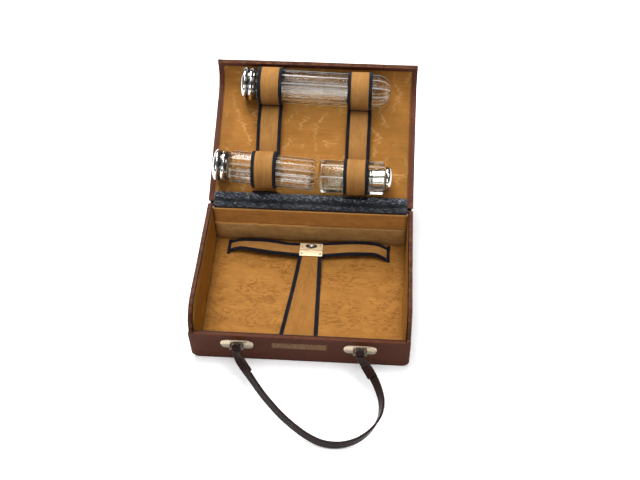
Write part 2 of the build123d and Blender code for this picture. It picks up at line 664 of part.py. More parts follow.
with BuildPart() as hasp_strap:
    with BuildSketch(side.offset(-40)):
        with BuildLine():
            Polyline(*hasp_low, *reversed(hasp_top), close=True)
        make_face()
    extrude(amount=80)
    with BuildSketch(Plane.XY) as plan:
        with BuildLine():
            Polyline((hasp_edge(-1, HASP_Y0), HASP_Y0), (hasp_edge(1, HASP_Y0), HASP_Y0),
                     (hasp_edge(1, HASP_Y1), HASP_Y1), (hasp_edge(-1, HASP_Y1), HASP_Y1), close=True)
        make_face()
    extrude(plan.sketch, amount=60, mode=Mode.INTERSECT)
finish(hasp_strap, "hasp_strap")

BIND_END = 48.0
with BuildPart() as hasp_strap_binding:
    with BuildSketch(side.offset(-40)):
        with BuildLine():
            Polyline(*hasp_top, *[(y, z + 0.4) for y, z in reversed(hasp_top)], close=True)
        make_face()
    extrude(amount=80)
    with BuildSketch(Plane.XY) as edges:
        for sign in (-1, 1):
            x0, x1 = hasp_edge(sign, HASP_Y0), hasp_edge(sign, BIND_END)
            with BuildLine():
                Polyline((x0, HASP_Y0), (x0 - sign * 3.4, HASP_Y0), (x1 - sign * 3.4, BIND_END),
                         (x1, BIND_END), close=True)
            make_face()
    extrude(edges.sketch, amount=60, mode=Mode.INTERSECT)
finish(hasp_strap_binding, "hasp_strap_binding")

hasp_face = band_top + 0.8 + HASP_T
with BuildPart() as hasp_plate:
    with BuildSketch(Plane.XY.offset(hasp_face)):
        with Locations((CATCH_X, (48.2 + HASP_Y1) / 2)):
            RectangleRounded(CATCH_W, HASP_Y1 - 48.2, 0.6)
        with Locations((CATCH_X, (HASP_Y1 + TONGUE_END) / 2 - 0.5)):
            Rectangle(TONGUE_W, TONGUE_END - HASP_Y1 + 1)
    extrude(amount=0.8)
finish(hasp_plate, "hasp_plate")

with BuildPart() as hasp_rivets:
    with BuildSketch(Plane.XY.offset(hasp_face + 0.8)):
        with Locations((CATCH_X - 11, 51.4), (CATCH_X + 11, 51.4)):
            Circle(1.0)
    extrude(amount=0.5)
finish(hasp_rivets, "hasp_rivets")

# ---------------------------------------------------------------------------
# Handle
# ---------------------------------------------------------------------------
PLATE_L, PLATE_H, PLATE_T = 36.0, 15.6, 1.5
BAR_R = 1.5
axis_y, axis_z = HANDLE_AXIS

for name, x_mid in (("left", HANDLE_X[0]), ("right", HANDLE_X[1])):
    with BuildPart() as plate:
        with BuildSketch(front_plane):
            with Locations((x_mid, axis_z)):
                SlotOverall(PLATE_L, PLATE_H)
        extrude(amount=PLATE_T)
        chamfer(plate.faces().sort_by(Axis.Y)[0].edges(), 0.7)
    finish(plate, "handle_plate_" + name)

    with BuildPart() as staple:
        with BuildSketch(side.offset(x_mid - 7.6)):
            with Locations((axis_y, axis_z)):
                Circle(BAR_R)
        extrude(amount=15.2)
        for x_leg in (x_mid - 7.6, x_mid + 5.6):
            with BuildSketch(side.offset(x_leg)) as leg:
                with Locations((axis_y, axis_z)):
                    Circle(BAR_R + 0.4)
                with Locations(((axis_y - half_d - PLATE_T) / 2, axis_z)):
                    Rectangle(-axis_y - half_d - PLATE_T, 2 * BAR_R + 0.8)
            extrude(leg.sketch, amount=2.0)
    finish(staple, "handle_staple_" + name)

with BuildPart() as plate_prongs:
    with BuildSketch(front_plane):
        with Locations(*prong_spots):
            Circle(PRONG_R)
    extrude(amount=-(FRONT_T - 0.2))
finish(plate_prongs, "plate_prongs")

handle_plane = Plane(origin=(0, axis_y, axis_z), x_dir=(1, 0, 0),
                     z_dir=(0, -sin(radians(HANDLE_DROP)), cos(radians(HANDLE_DROP))))
# the strap's middle line: x, and distance from the axis, on the plane it lies in
handle_line = [(-64.7, 10.4), (-58.7, 19.9), (-46.6, 35.4), (-33.5, 51.3), (-17.1, 68.0), (-1.5, 80.8),
               (13.9, 90.9), (28.1, 97.1), (41.6, 99.1), (55.6, 97.5), (69.7, 91.4), (82.0, 80.4),
               (89.8, 65.8), (91.0, 50.5), (86.6, 35.8), (79.6, 22.1), (71.2, 10.6)]


def offset_line(points, amount):
    """The line moved sideways on its plane, outwards from the loop for a positive amount."""
    out = []
    for i, (x, d) in enumerate(points):
        x0, d0 = points[max(i - 1, 0)]
        x1, d1 = points[min(i + 1, len(points) - 1)]
        n = sqrt((x1 - x0) ** 2 + (d1 - d0) ** 2)
        out.append((x - (d1 - d0) / n * amount, -(d + (x1 - x0) / n * amount)))
    return out


def tip(points, width):
    (x0, d0), (x1, d1) = points
    n = sqrt((x1 - x0) ** 2 + (d1 - d0) ** 2)
    wx, wd = -(d1 - d0) / n * width / 2, (x1 - x0) / n * width / 2
    return [(x0 + wx, -(d0 + wd)), (x1 + wx, -(d1 + wd)), (x1 - wx, -(d1 - wd)), (x0 - wx, -(d0 - wd))]


def standing_band(line, out_by, in_by, height):
    """A band on its edge: between two offsets of a line, as high as the strap is wide."""
    with BuildSketch(handle_plane.offset(-height / 2)) as band:
        with BuildLine():
            outer, inner = offset_line(line, out_by), offset_line(line, in_by)
            Spline(*outer)
            Line(outer[-1], inner[-1])
            Spline(*inner[::-1])
            Line(inner[0], outer[0])
        make_face()
    extrude(band.sketch, amount=height)


with BuildPart() as handle_strap:
    standing_band(handle_line, HANDLE_T / 2, -HANDLE_T / 2, HANDLE_W)
    for line in ([(HANDLE_X[0], 0), (-63.0, 13.4)], [(HANDLE_X[1], 0), (73.2, 13.4)]):
        with BuildSketch(handle_plane.offset(-HANDLE_T / 2)) as root:      # lies flat at the bars
            with BuildLine():
                Polyline(*tip(line, HANDLE_W - 2.0), close=True)
            make_face()
        extrude(root.sketch, amount=HANDLE_T)
    for x_mid in HANDLE_X:                     # eyes round the bars
        with BuildSketch(side.offset(x_mid - HANDLE_W / 2)) as eye:
            with Locations((axis_y, axis_z)):
                Circle(BAR_R + 1.9)
        extrude(eye.sketch, amount=HANDLE_W)
        with BuildSketch(side.offset(x_mid - HANDLE_W)) as bore:
            with Locations((axis_y, axis_z)):
                Circle(BAR_R + 0.35)
        extrude(bore.sketch, amount=2 * HANDLE_W, mode=Mode.SUBTRACT)
finish(handle_strap, "handle_strap")

for name, line in (("left", [(-61.0, 16.3), (-57.4, 21.6), (-51.6, 29.0)]),
                   ("right", [(82.0, 26.4), (79.0, 21.0), (75.8, 16.4)])):
    with BuildPart() as handle_end:            # the strap's end, doubled back and sewn down
        standing_band(line, -HANDLE_T / 2 - 0.15, -HANDLE_T / 2 - 2.0, HANDLE_W - 1.5)
    finish(handle_end, "handle_end_" + name)
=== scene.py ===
import json
import math
import bpy
import bmesh
import numpy as np
from mathutils import Vector, Matrix, noise


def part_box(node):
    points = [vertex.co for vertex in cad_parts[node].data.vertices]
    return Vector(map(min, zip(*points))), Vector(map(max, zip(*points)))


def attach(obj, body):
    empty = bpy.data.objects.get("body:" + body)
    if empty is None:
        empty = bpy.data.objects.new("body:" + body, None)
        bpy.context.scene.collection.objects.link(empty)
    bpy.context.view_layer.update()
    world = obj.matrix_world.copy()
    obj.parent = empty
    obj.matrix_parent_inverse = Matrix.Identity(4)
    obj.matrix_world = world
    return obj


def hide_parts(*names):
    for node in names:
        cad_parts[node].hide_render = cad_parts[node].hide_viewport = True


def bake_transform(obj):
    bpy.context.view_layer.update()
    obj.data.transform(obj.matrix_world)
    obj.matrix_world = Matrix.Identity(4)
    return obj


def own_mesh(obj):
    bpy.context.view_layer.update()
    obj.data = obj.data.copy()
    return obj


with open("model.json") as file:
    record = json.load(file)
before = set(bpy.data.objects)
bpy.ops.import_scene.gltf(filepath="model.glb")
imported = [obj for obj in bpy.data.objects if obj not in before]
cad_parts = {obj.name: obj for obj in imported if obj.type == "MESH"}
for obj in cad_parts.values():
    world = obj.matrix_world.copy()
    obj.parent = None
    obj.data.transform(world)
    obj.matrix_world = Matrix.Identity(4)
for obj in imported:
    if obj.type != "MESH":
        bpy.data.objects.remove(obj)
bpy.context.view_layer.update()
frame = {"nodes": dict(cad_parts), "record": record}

rad = math.radians
MM = 0.001

# ------------------------------------------------------------------ camera
scene = bpy.context.scene
scene.view_settings.view_transform = "Standard"
scene.view_settings.look = "None"
cam_data = bpy.data.cameras.new("camera")
cam = bpy.data.objects.new("camera", cam_data)
scene.collection.objects.link(cam)
right = Vector((0.9976, 0.0665, -0.0167))
up = Vector((-0.042, 0.7857, 0.6171))
fwd = Vector((-0.0542, 0.615, -0.7867)).normalized()
right = (right - fwd * right.dot(fwd)).normalized()
up = right.cross(fwd).normalized()
cam.matrix_world = Matrix((
    (right.x, up.x, -fwd.x, 0.0745), (right.y, up.y, -fwd.y, -0.638), (right.z, up.z, -fwd.z, 0.9249), (0, 0, 0, 1)))
cam_data.lens = 54.41
cam_data.sensor_width = 36.0
cam_data.clip_start = 0.01
cam_data.clip_end = 20.0
scene.camera = cam

# ------------------------------------------------------------------ frame's own numbers, mm
HY, HZ, OPEN = 88.0, 60.5, rad(21.5)
co, so = math.cos(OPEN), math.sin(OPEN)
WEDGE = rad(3.5)
CS, CT = 141.88, 26.01           # centre of the lid's curled front, on the lid
TOP = 0.2                        # lined face of the lid
LIP = 0.0


def L(x, s, t):
    """A point on the open lid: x, s from the hinge, t off the lined face's plane, in mm."""
    return np.array([x, HY + s * co - t * so, HZ + s * so + t * co])


def wall_top(y):
    return HZ + (HY - y) * math.tan(WEDGE)


def nz(x, y, z, f, seed=0.0):
    """Smooth noise, -1..1, of a point in mm at f cycles per mm."""
    return noise.noise(Vector((x * f + seed * 17.3, y * f - seed * 5.1, z * f + seed)))


# ------------------------------------------------------------------ mesh helpers
def new_object(name, verts, faces, uvs=None, smooth=True):
    me = bpy.data.meshes.new(name)
    me.from_pydata([tuple(float(c) * MM for c in v) for v in verts], [], faces)
    me.update()
    if uvs is not None:
        layer = me.uv_layers.new(name="UVMap")
        flat = np.empty(len(me.loops) * 2)
        idx = np.empty(len(me.loops), dtype=int)
        me.loops.foreach_get("vertex_index", idx)
        uv = np.asarray(uvs, float)
        flat[0::2] = uv[idx, 0]
        flat[1::2] = uv[idx, 1]
        layer.data.foreach_set("uv", flat)
    if smooth:
        me.polygons.foreach_set("use_smooth", [True] * len(me.polygons))
    o = bpy.data.objects.new(name, me)
    scene.collection.objects.link(o)
    return o


def fix_normals(o):
    bm = bmesh.new()
    bm.from_mesh(o.data)
    bmesh.ops.recalc_face_normals(bm, faces=bm.faces)
    bm.to_mesh(o.data)
    bm.free()
    return o


def apply_mods(o):
    dg = bpy.context.evaluated_depsgraph_get()
    dg.update()
    me = bpy.data.meshes.new_from_object(o.evaluated_get(dg))
    o.modifiers.clear()
    o.data = me
    return o


def sharpen(o, angle=35):
    """Smooth shading, with edges sharper than the angle kept."""
    me = o.data
    bm = bmesh.new()
    bm.from_mesh(me)
    for e in bm.edges:
        if len(e.link_faces) == 2:
            e.smooth = e.calc_face_angle(0) < rad(angle)
    bm.to_mesh(me)
    bm.free()
    me.polygons.foreach_set("use_smooth", [True] * len(me.polygons))
    return o


def sheet(name, P, thick, uv, flip=False):
    """A closed sheet: P is an (n, m, 3) grid in mm, thick in mm is laid behind it."""
    P = np.asarray(P, float)
    n, m = P.shape[:2]
    du = np.gradient(P, axis=0)
    dv = np.gradient(P, axis=1)
    N = np.cross(du, dv)
    N /= np.linalg.norm(N, axis=2)[..., None] + 1e-12
    if flip:
        N = -N
    T = thick if np.ndim(thick) else np.full((n, m), float(thick))
    Q = P - N * T[..., None]
    verts = np.concatenate([P.reshape(-1, 3), Q.reshape(-1, 3)])
    uvs = np.concatenate([np.asarray(uv, float).reshape(-1, 2)] * 2)
    k = n * m
    faces = []
    for i in range(n - 1):
        for j in range(m - 1):
            a, b, c, d = i * m + j, (i + 1) * m + j, (i + 1) * m + j + 1, i * m + j + 1
            faces.append((a, b, c, d))
            faces.append((k + d, k + c, k + b, k + a))
    rim = ([i * m for i in range(n)] + [(n - 1) * m + j for j in range(1, m)]
           + [i * m + m - 1 for i in range(n - 2, -1, -1)] + [j for j in range(m - 2, 0, -1)])
    for a, b in zip(rim, rim[1:] + rim[:1]):
        faces.append((b, a, k + a, k + b))
    return fix_normals(new_object(name, verts, faces, uvs))


def rrect(w, h, r, seg=3, across=1):
    """Rounded rectangle, w along a and h along b, centred; across adds points along the long sides."""
    pts = []
    corners = [(w / 2 - r, h / 2 - r, 0), (-w / 2 + r, h / 2 - r, 90), (-w / 2 + r, -h / 2 + r, 180), (w / 2 - r, -h / 2 + r, 270)]
    for ci, (cx, cy, a0) in enumerate(corners):
        for k in range(seg + 1):
            a = rad(a0 + 90 * k / seg)
            pts.append((cx + r * math.cos(a), cy + r * math.sin(a)))
        nx, ny, _ = corners[(ci + 1) % 4]
        if ci in (0, 2) and across > 1:
            x0, y0 = pts[-1]
            x1, y1 = (nx, cy + (r if ci == 0 else -r))
            for k in range(1, across):
                f = k / across
                pts.append((x0 + (x1 - x0) * f, y0 + (y1 - y0) * f))
    return pts


def sweep(name, C, A, B, section, caps=True, uv_scale=MM, closed=False, displace=None):
    """Sweeps a closed section through the frames (C, A, B); section may be one outline or one per step."""
    C, A, B = (np.asarray(v, float) for v in (C, A, B))
    n = len(C)
    S = np.asarray(section, float)
    if S.ndim == 2:
        S = np.repeat(S[None], n, 0)
    k = S.shape[1]
    V = C[:, None] + S[..., 0:1] * A[:, None] + S[..., 1:2] * B[:, None]
    if displace is not None:
        V = displace(V, A, B)
    run = np.concatenate([[0], np.cumsum(np.linalg.norm(np.diff(C, axis=0), axis=1))])
    uvs = np.stack([np.repeat(run[:, None], k, 1), S[..., 0]], -1).reshape(-1, 2) * uv_scale
    faces = []
    steps = n if closed else n - 1
    for i in range(steps):
        i2 = (i + 1) % n
        for j in range(k):
            j2 = (j + 1) % k
            faces.append((i * k + j, i2 * k + j, i2 * k + j2, i * k + j2))
    if caps and not closed:
        faces.append(tuple(range(k - 1, -1, -1)))
        faces.append(tuple((n - 1) * k + j for j in range(k)))
    return fix_normals(new_object(name, V.reshape(-1, 3), faces, uvs))


def chaikin(points, times=2, keep=()):
    """Rounds a profile's corners; points listed in keep stay sharp."""
    pts = [tuple(p) + (i in keep,) for i, p in enumerate(points)]
    for _ in range(times):
        out = [pts[0]]
        for i in range(1, len(pts) - 1):
            p, q, r = pts[i - 1], pts[i], pts[i + 1]
            if q[2]:
                out.append(q)
                continue
            out.append((q[0] + (p[0] - q[0]) * .25, q[1] + (p[1] - q[1]) * .25, False))
            out.append((q[0] + (r[0] - q[0]) * .25, q[1] + (r[1] - q[1]) * .25, False))
        out.append(pts[-1])
        pts = out
    return [(p[0], p[1]) for p in pts]


def lathe(name, x, s, t, angle, profile, seg=96, shape=None, uv_scale=MM):
    """Turns a closed (u, r) profile about a vessel's axis. shape(theta, u, r) may change the radius."""
    a = rad(angle)
    O = L(x, s, t)
    U = np.array([math.cos(a), math.sin(a) * co, math.sin(a) * so])
    N = np.array([0, -so, co])
    Bv = np.cross(U, N)
    th = np.asarray(seg) if hasattr(seg, "__len__") else 2 * np.pi * np.arange(seg) / seg
    seg = len(th)
    verts, uvs, rings = [], [], []
    run = 0.0
    for i, (u, r) in enumerate(profile):
        if i:
            run += math.hypot(u - profile[i - 1][0], r - profile[i - 1][1])
        if r < 1e-6:
            rings.append([len(verts)])
            verts.append(O + U * u)
            uvs.append((0, run * uv_scale))
            continue
        ring = []
        for k in range(seg):
            rr = shape(th[k], u, r) if shape else r
            ring.append(len(verts))
            verts.append(O + U * u + N * rr * math.cos(th[k]) + Bv * rr * math.sin(th[k]))
            uvs.append((th[k] * 20 * uv_scale, run * uv_scale))
        rings.append(ring)
    faces = []
    pairs = list(zip(rings, rings[1:]))
    if profile[0][1] > 1e-6 or profile[-1][1] > 1e-6:
        pairs.append((rings[-1], rings[0]))
    for A_, B_ in pairs:
        if len(A_) == 1 and len(B_) == 1:
            continue
        for k in range(seg):
            k2 = (k + 1) % seg
            if len(A_) == 1:
                faces.append((A_[0], B_[k], B_[k2]))
            elif len(B_) == 1:
                faces.append((A_[k], B_[0], A_[k2]))
            else:
                faces.append((A_[k], B_[k], B_[k2], A_[k2]))
    return fix_normals(new_object(name, verts, faces, uvs))


def from_cad(name, nodes, bevel=0.8, cell=6.0, amp=0.15, angle=35, seed=1.0, segments=3):
    """A softened copy of CAD nodes: cut into cells, edges rounded, faces faintly uneven, with wear along edges."""
    bm = bmesh.new()
    for node in nodes:
        part = bmesh.new()
        part.from_mesh(frame["nodes"][node].data)
        bmesh.ops.remove_doubles(part, verts=part.verts, dist=1e-6)
        bmesh.ops.dissolve_limit(part, angle_limit=rad(0.5), verts=part.verts, edges=part.edges)
        tmp = bpy.data.meshes.new("tmp")
        part.to_mesh(tmp)
        part.free()
        bm.from_mesh(tmp)
        bpy.data.meshes.remove(tmp)
    me = bpy.data.meshes.new(name)
    bm.to_mesh(me)
    bm.free()
    o = bpy.data.objects.new(name, me)
    scene.collection.objects.link(o)
    if bevel:
        m = o.modifiers.new("round", "BEVEL")
        m.width = bevel * MM
        m.segments = segments
        m.limit_method = "ANGLE"
        m.angle_limit = rad(angle)
        m.use_clamp_overlap = True
        m.loop_slide = False
        apply_mods(o)
    me = o.data
    bm = bmesh.new()
    bm.from_mesh(me)
    if cell:
        for axis in range(3):
            lo = min(v.co[axis] for v in bm.verts)
            hi = max(v.co[axis] for v in bm.verts)
            count = int((hi - lo) / (cell * MM))
            if (hi - lo) < 2.5 * cell * MM:
                continue
            for k in range(1, count + 1):
                c = lo + (hi - lo) * k / (count + 1)
                p = Vector((0, 0, 0)); p[axis] = c
                q = Vector((0, 0, 0)); q[axis] = 1
                bmesh.ops.bisect_plane(bm, geom=bm.verts[:] + bm.edges[:] + bm.faces[:], dist=1e-6, plane_co=p, plane_no=q)
    # wear: how sharply the surface turns at each point
    wear = bm.verts.layers.float.new("wear")
    for v in bm.verts:
        most = 0.0
        for e in v.link_edges:
            if len(e.link_faces) == 2 and e.is_convex:
                most = max(most, e.calc_face_angle(0))
        v[wear] = min(1.0, most / rad(24))
    if amp:
        for v in bm.verts:
            x, y, z = v.co / MM
            d = Vector((nz(x, y, z, .03, seed), nz(x, y, z, .03, seed + 2), nz(x, y, z, .03, seed + 4))) * amp
            d += Vector((nz(x, y, z, .12, seed), nz(x, y, z, .12, seed + 2), nz(x, y, z, .12, seed + 4))) * amp * .35
            if z < 0.6:
                d.z = abs(d.z) * .3
            v.co += d * MM
    bmesh.ops.recalc_face_normals(bm, faces=bm.faces)
    bm.to_mesh(me)
    bm.free()
    sharpen(o, 38)
    m = o.modifiers.new("normals", "WEIGHTED_NORMAL")
    m.keep_sharp = True
    apply_mods(o)
    return o


# ------------------------------------------------------------------ material helpers
class Nodes:
    """Short forms for building a node material."""

    def __init__(self, name, **principled):
        self.mat = bpy.data.materials.new(name)
        self.mat.use_nodes = True
        self.t = self.mat.node_tree
        self.p = self.t.nodes["Principled BSDF"]
        for k, v in principled.items():
            self.set(k, v)

    def sock(self, key):
        names = {"color": "Base Color", "rough": "Roughness", "metal": "Metallic", "ior": "IOR", "spec": "Specular IOR Level",
                 "sheen": "Sheen Weight", "sheen_rough": "Sheen Roughness", "sheen_tint": "Sheen Tint", "coat": "Coat Weight",
                 "coat_rough": "Coat Roughness", "trans": "Transmission Weight", "normal": "Normal", "alpha": "Alpha",
                 "aniso": "Anisotropic"}
        return self.p.inputs[names[key]]

    def set(self, key, v):
        s = self.sock(key)
        if hasattr(v, "is_output"):
            self.t.links.new(v, s)
        elif isinstance(v, (tuple, list)):
            s.default_value = tuple(v) + (1.0,) if len(v) == 3 and len(s.default_value) == 4 else tuple(v)
        else:
            s.default_value = v

    def n(self, kind, **attrs):
        node = self.t.nodes.new(kind)
        for k, v in attrs.items():
            setattr(node, k, v)
        return node

    def link(self, a, b):
        self.t.links.new(a, b)

    def coords(self, kind="Object", scale=(1, 1, 1), rot=(0, 0, 0), loc=(0, 0, 0)):
        tc = self.n("ShaderNodeTexCoord")
        mp = self.n("ShaderNodeMapping")
        mp.inputs["Scale"].default_value = scale
        mp.inputs["Rotation"].default_value = rot
        mp.inputs["Location"].default_value = loc
        self.link(tc.outputs[kind], mp.inputs["Vector"])
        return mp.outputs[0]

    def noise(self, vec, scale=5.0, detail=3.0, rough=0.5, dist=0.0, color=False):
        x = self.n("ShaderNodeTexNoise")
        x.inputs["Scale"].default_value = scale
        x.inputs["Detail"].default_value = detail
        x.inputs["Roughness"].default_value = rough
        x.inputs["Distortion"].default_value = dist
        self.link(vec, x.inputs["Vector"])
        return x.outputs["Color" if color else "Fac"]

    def voronoi(self, vec, scale=5.0, feature="F1", rand=1.0, out="Distance"):
        x = self.n("ShaderNodeTexVoronoi", feature=feature)
        x.inputs["Scale"].default_value = scale
        x.inputs["Randomness"].default_value = rand
        self.link(vec, x.inputs["Vector"])
        return x.outputs[out]

    def math(self, op, a, b=0.0, c=None, clamp=False):
        x = self.n("ShaderNodeMath", operation=op, use_clamp=clamp)
        for i, v in enumerate((a, b) if c is None else (a, b, c)):
            if hasattr(v, "is_output"):
                self.link(v, x.inputs[i])
            else:
                x.inputs[i].default_value = v
        return x.outputs[0]

    def ramp(self, fac, stops, interp="LINEAR"):
        x = self.n("ShaderNodeValToRGB")
        x.color_ramp.interpolation = interp
        el = x.color_ramp.elements
        while len(el) < len(stops):
            el.new(0.5)
        for e, (pos, col) in zip(el, stops):
            e.position = pos
            if not isinstance(col, (tuple, list)):
                col = (col, col, col)
            e.color = tuple(col) + (1.0,) if len(col) == 3 else tuple(col)
        self.link(fac, x.inputs[0])
        return x.outputs["Color"]

    def mix(self, fac, a, b, blend="MIX"):
        x = self.n("ShaderNodeMix", data_type="RGBA", blend_type=blend)
        x.clamp_factor = True
        for s, v in ((x.inputs[0], fac), (x.inputs[6], a), (x.inputs[7], b)):
            if hasattr(v, "is_output"):
                self.link(v, s)
            elif isinstance(v, (tuple, list)):
                s.default_value = tuple(v) + (1.0,)
            else:
                s.default_value = v
        return x.outputs[2]

    def attr(self, name):
        x = self.n("ShaderNodeAttribute", attribute_name=name)
        return x.outputs["Fac"]

    def sep(self, vec):
        x = self.n("ShaderNodeSeparateXYZ")
        self.link(vec, x.inputs[0])
        return x.outputs

    def comb(self, x_, y_, z_=0.0):
        x = self.n("ShaderNodeCombineXYZ")
        for i, v in enumerate((x_, y_, z_)):
            if hasattr(v, "is_output"):
                self.link(v, x.inputs[i])
            else:
                x.inputs[i].default_value = v
        return x.outputs[0]

    def bump(self, height, dist=0.0002, strength=1.0, normal=None):
        x = self.n("ShaderNodeBump")
        x.inputs["Strength"].default_value = strength
        x.inputs["Distance"].default_value = dist
        self.link(height, x.inputs["Height"])
        if normal is not None:
            self.link(normal, x.inputs["Normal"])
        return x.outputs[0]


def leather(name, dark, light, worn, grain=620, bump=0.00022, rough=0.42, patch=False, gloss=0.0, wear_amount=0.9, spec=0.22, edge=None, gap_shade=None):
    """Grained leather: pebbled cells, blotches, rubbed edges and a few scuffs."""
    k = Nodes(name)
    v = k.coords()
    blotch = k.noise(v, 16, 3, .5)
    cells = k.voronoi(v, grain, "F1")
    crease = k.voronoi(v, grain * .55, "DISTANCE_TO_EDGE")
    fine = k.noise(v, grain * 2.2, 3, .6)
    tone = k.mix(k.ramp(blotch, [(.22, 0.0), (.78, 1.0)]), dark, light)
    tone = k.mix(k.math("MULTIPLY", k.ramp(fine, [(.42, 1.0), (.58, 0.0)]), .45), tone, tuple(c * .45 for c in dark))
    pit = k.ramp(crease, [(0.0, 0.45), (.12, 1.0)])
    tone = k.mix(0.55, tone, k.mix(1.0, tone, pit, "MULTIPLY"))
    rub = k.math("MULTIPLY", k.math("POWER", k.attr("wear"), 2.6), k.ramp(k.noise(v, 160, 4, .65), [(.38, 0.0), (.62, 1.0)]), clamp=True)
    tone = k.mix(k.math("MULTIPLY", rub, wear_amount), tone, worn)
    scuff = k.ramp(k.noise(k.coords(scale=(30, 160, 260), rot=(0, .2, .1)), 1.4, 5, .7), [(.66, 0.0), (.78, 1.0)])
    tone = k.mix(k.math("MULTIPLY", scuff, .35), tone, worn)
    if edge:
        tone = k.mix(k.ramp(k.attr("wear"), [(.15, 0.0), (.75, 1.0)]), tone, edge)
    height = k.math("ADD", k.math("MULTIPLY", k.math("SUBTRACT", 1.0, cells), .5), k.math("MULTIPLY", fine, .25))
    height = k.math("ADD", height, k.math("MULTIPLY", k.ramp(crease, [(0.0, 0.0), (.2, 1.0)]), .6))
    r = k.math("ADD", rough - .08, k.math("MULTIPLY", blotch, .16))
    r = k.math("ADD", r, k.math("MULTIPLY", rub, .12))
    if patch:
        # bare, scuffed strip on the middle of the front wall, where a worn mark was rubbed off
        x, y, z = k.sep(k.coords())
        ragged = k.noise(v, 420, 5, .7)
        dx = k.math("SUBTRACT", 0.0305, k.math("ABSOLUTE", x))
        dz = k.math("SUBTRACT", 0.0056, k.math("ABSOLUTE", k.math("SUBTRACT", z, 0.0298)))
        inside = k.math("MINIMUM", dx, k.math("MULTIPLY", dz, 1.0))
        inside = k.math("MULTIPLY", inside, 700, clamp=True)
        speck = k.ramp(k.math("ADD", ragged, k.math("MULTIPLY", k.noise(v, 70, 2, .5), .35)), [(.52, 0.15), (.74, 1.0)])
        amount = k.math("MULTIPLY", k.math("MULTIPLY", inside, speck), .8)
        tone = k.mix(amount, tone, (0.24, 0.145, 0.075))
        r = k.math("ADD", r, k.math("MULTIPLY", inside, .15))
    if gap_shade:
        # painted shade: a near-black line along the inner top edge, in the gap where the turned-in leather meets the
        # lining
        across = k.math("ABSOLUTE", k.sep(k.coords())[gap_shade[0]])
        tone = k.mix(k.math("MULTIPLY", k.math("SUBTRACT", gap_shade[1], across), 1500, clamp=True), tone, (.006, .005, .005))
    k.set("color", tone)
    k.set("rough", r)
    k.set("spec", spec)
    k.set("coat", gloss)
    k.set("coat_rough", 0.25)
    k.set("normal", k.bump(height, bump))
    return k.mat


def silk(name, base, line_tone, stain, line=1.0, streak=1.0, seed=0.0, bump=0.00010, sheen=0.0, contour=False, mottle=1.0, edge_shade=None):
    """Watered silk: ribs and streaks along U, with jagged watermark lines across them or closed wandering ones."""
    k = Nodes(name)
    uv = k.coords("UV", loc=(seed, seed * .37, 0))
    u, v_, _ = k.sep(uv)

    def at(su, sv, scale=1.0, detail=2, rough=.5):
        return k.noise(k.comb(k.math("MULTIPLY", u, su), k.math("MULTIPLY", v_, sv)), scale, detail, rough)
    rib = k.math("SINE", k.math("MULTIPLY", k.math("ADD", v_, k.math("MULTIPLY", at(60, 60), .0012)), 2 * math.pi / .0011))
    fine = at(34, 620, detail=3, rough=.65)
    wide = at(11, 70, detail=3, rough=.6)
    cloud = at(60, 95, detail=4, rough=.65)
    if contour:
        field = k.math("ADD", k.math("MULTIPLY", at(24, 60, detail=2), 9.0), k.math("MULTIPLY", at(170, 480, detail=2), 1.4))
    else:
        field = k.math("ADD", k.math("MULTIPLY", u, 52), k.math("ADD", k.math("MULTIPLY", at(12, 330, detail=2), 1.15), k.math("MULTIPLY", at(13, 20), 4.2)))
    wave = k.math("ABSOLUTE", k.math("SINE", k.math("MULTIPLY", field, math.pi)))
    lines = k.ramp(wave, [(0.0, 1.0), (.30, 0.6), (.62, 0.0)] if contour else [(0.0, 1.0), (.16, 0.35), (.36, 0.0)])
    where = k.ramp(at(22, 38), [(.36, 0.0), (.52, 1.0)] if contour else [(.42, 0.0), (.58, 1.0)])
    lines = k.math("MULTIPLY", lines, where)
    tone = k.mix(k.ramp(wide, [(.34, 0.0), (.66, 1.0)]), tuple(c * .86 for c in base), tuple(min(1, c * 1.10) for c in base))
    tone = k.mix(k.math("MULTIPLY", k.ramp(fine, [(.40, 1.0), (.60, 0.0)]), .42 * streak), tone, tuple(c * .60 for c in base))
    tone = k.mix(k.math("MULTIPLY", k.ramp(cloud, [(.50, 0.0), (.72, 1.0)]), .50 * mottle), tone, tuple(c * f for c, f in zip(base, (.66, .60, .52))))
    tone = k.mix(k.math("MULTIPLY", k.ramp(cloud, [(.28, 1.0), (.44, 0.0)]), .35 * mottle), tone, tuple(min(1, c * f) for c, f in zip(base, (1.25, 1.25, 1.3))))
    tone = k.mix(k.math("MULTIPLY", lines, min(1.0, .75 * line)), tone, line_tone)
    if edge_shade:
        # painted shade: darker towards the edges of the panel, by its own width and length, where the walls and
        # neighbouring parts shade it
        mu, mv, near, depth = edge_shade
        du_ = k.math("SUBTRACT", mu[1], k.math("ABSOLUTE", k.math("SUBTRACT", u, mu[0] + seed)))
        dv_ = k.math("SUBTRACT", mv[1], k.math("ABSOLUTE", k.math("SUBTRACT", v_, mv[0] + seed * .37)))
        d_ = k.math("ADD", k.math("MINIMUM", du_, dv_), k.math("MULTIPLY", k.math("SUBTRACT", at(30, 30), .5), near))
        edge_shade_amount = k.math("SUBTRACT", 1.0, k.math("DIVIDE", d_, near, clamp=True), clamp=True)
        tone = k.mix(k.math("MULTIPLY", edge_shade_amount, depth), tone, tuple(c * .42 for c in base))
    blot = k.ramp(k.noise(uv, 21, 4, .6), [(.60, 0.0), (.78, 1.0)])
    tone = k.mix(k.math("MULTIPLY", blot, .40), tone, stain)
    tone = k.mix(k.math("MULTIPLY", k.math("ADD", rib, 1.0), .07), tone, tuple(c * .5 for c in base))
    k.set("color", tone)
    k.set("rough", k.math("ADD", .50, k.math("MULTIPLY", fine, .2)))
    k.set("sheen", sheen)
    k.set("sheen_rough", .4)
    k.set("sheen_tint", (1.0, .72, .38))
    k.set("spec", .06)
    k.set("normal", k.bump(k.math("ADD", k.math("MULTIPLY", rib, .5), k.math("ADD", fine, k.math("MULTIPLY", lines, .6))), bump))
    return k.mat


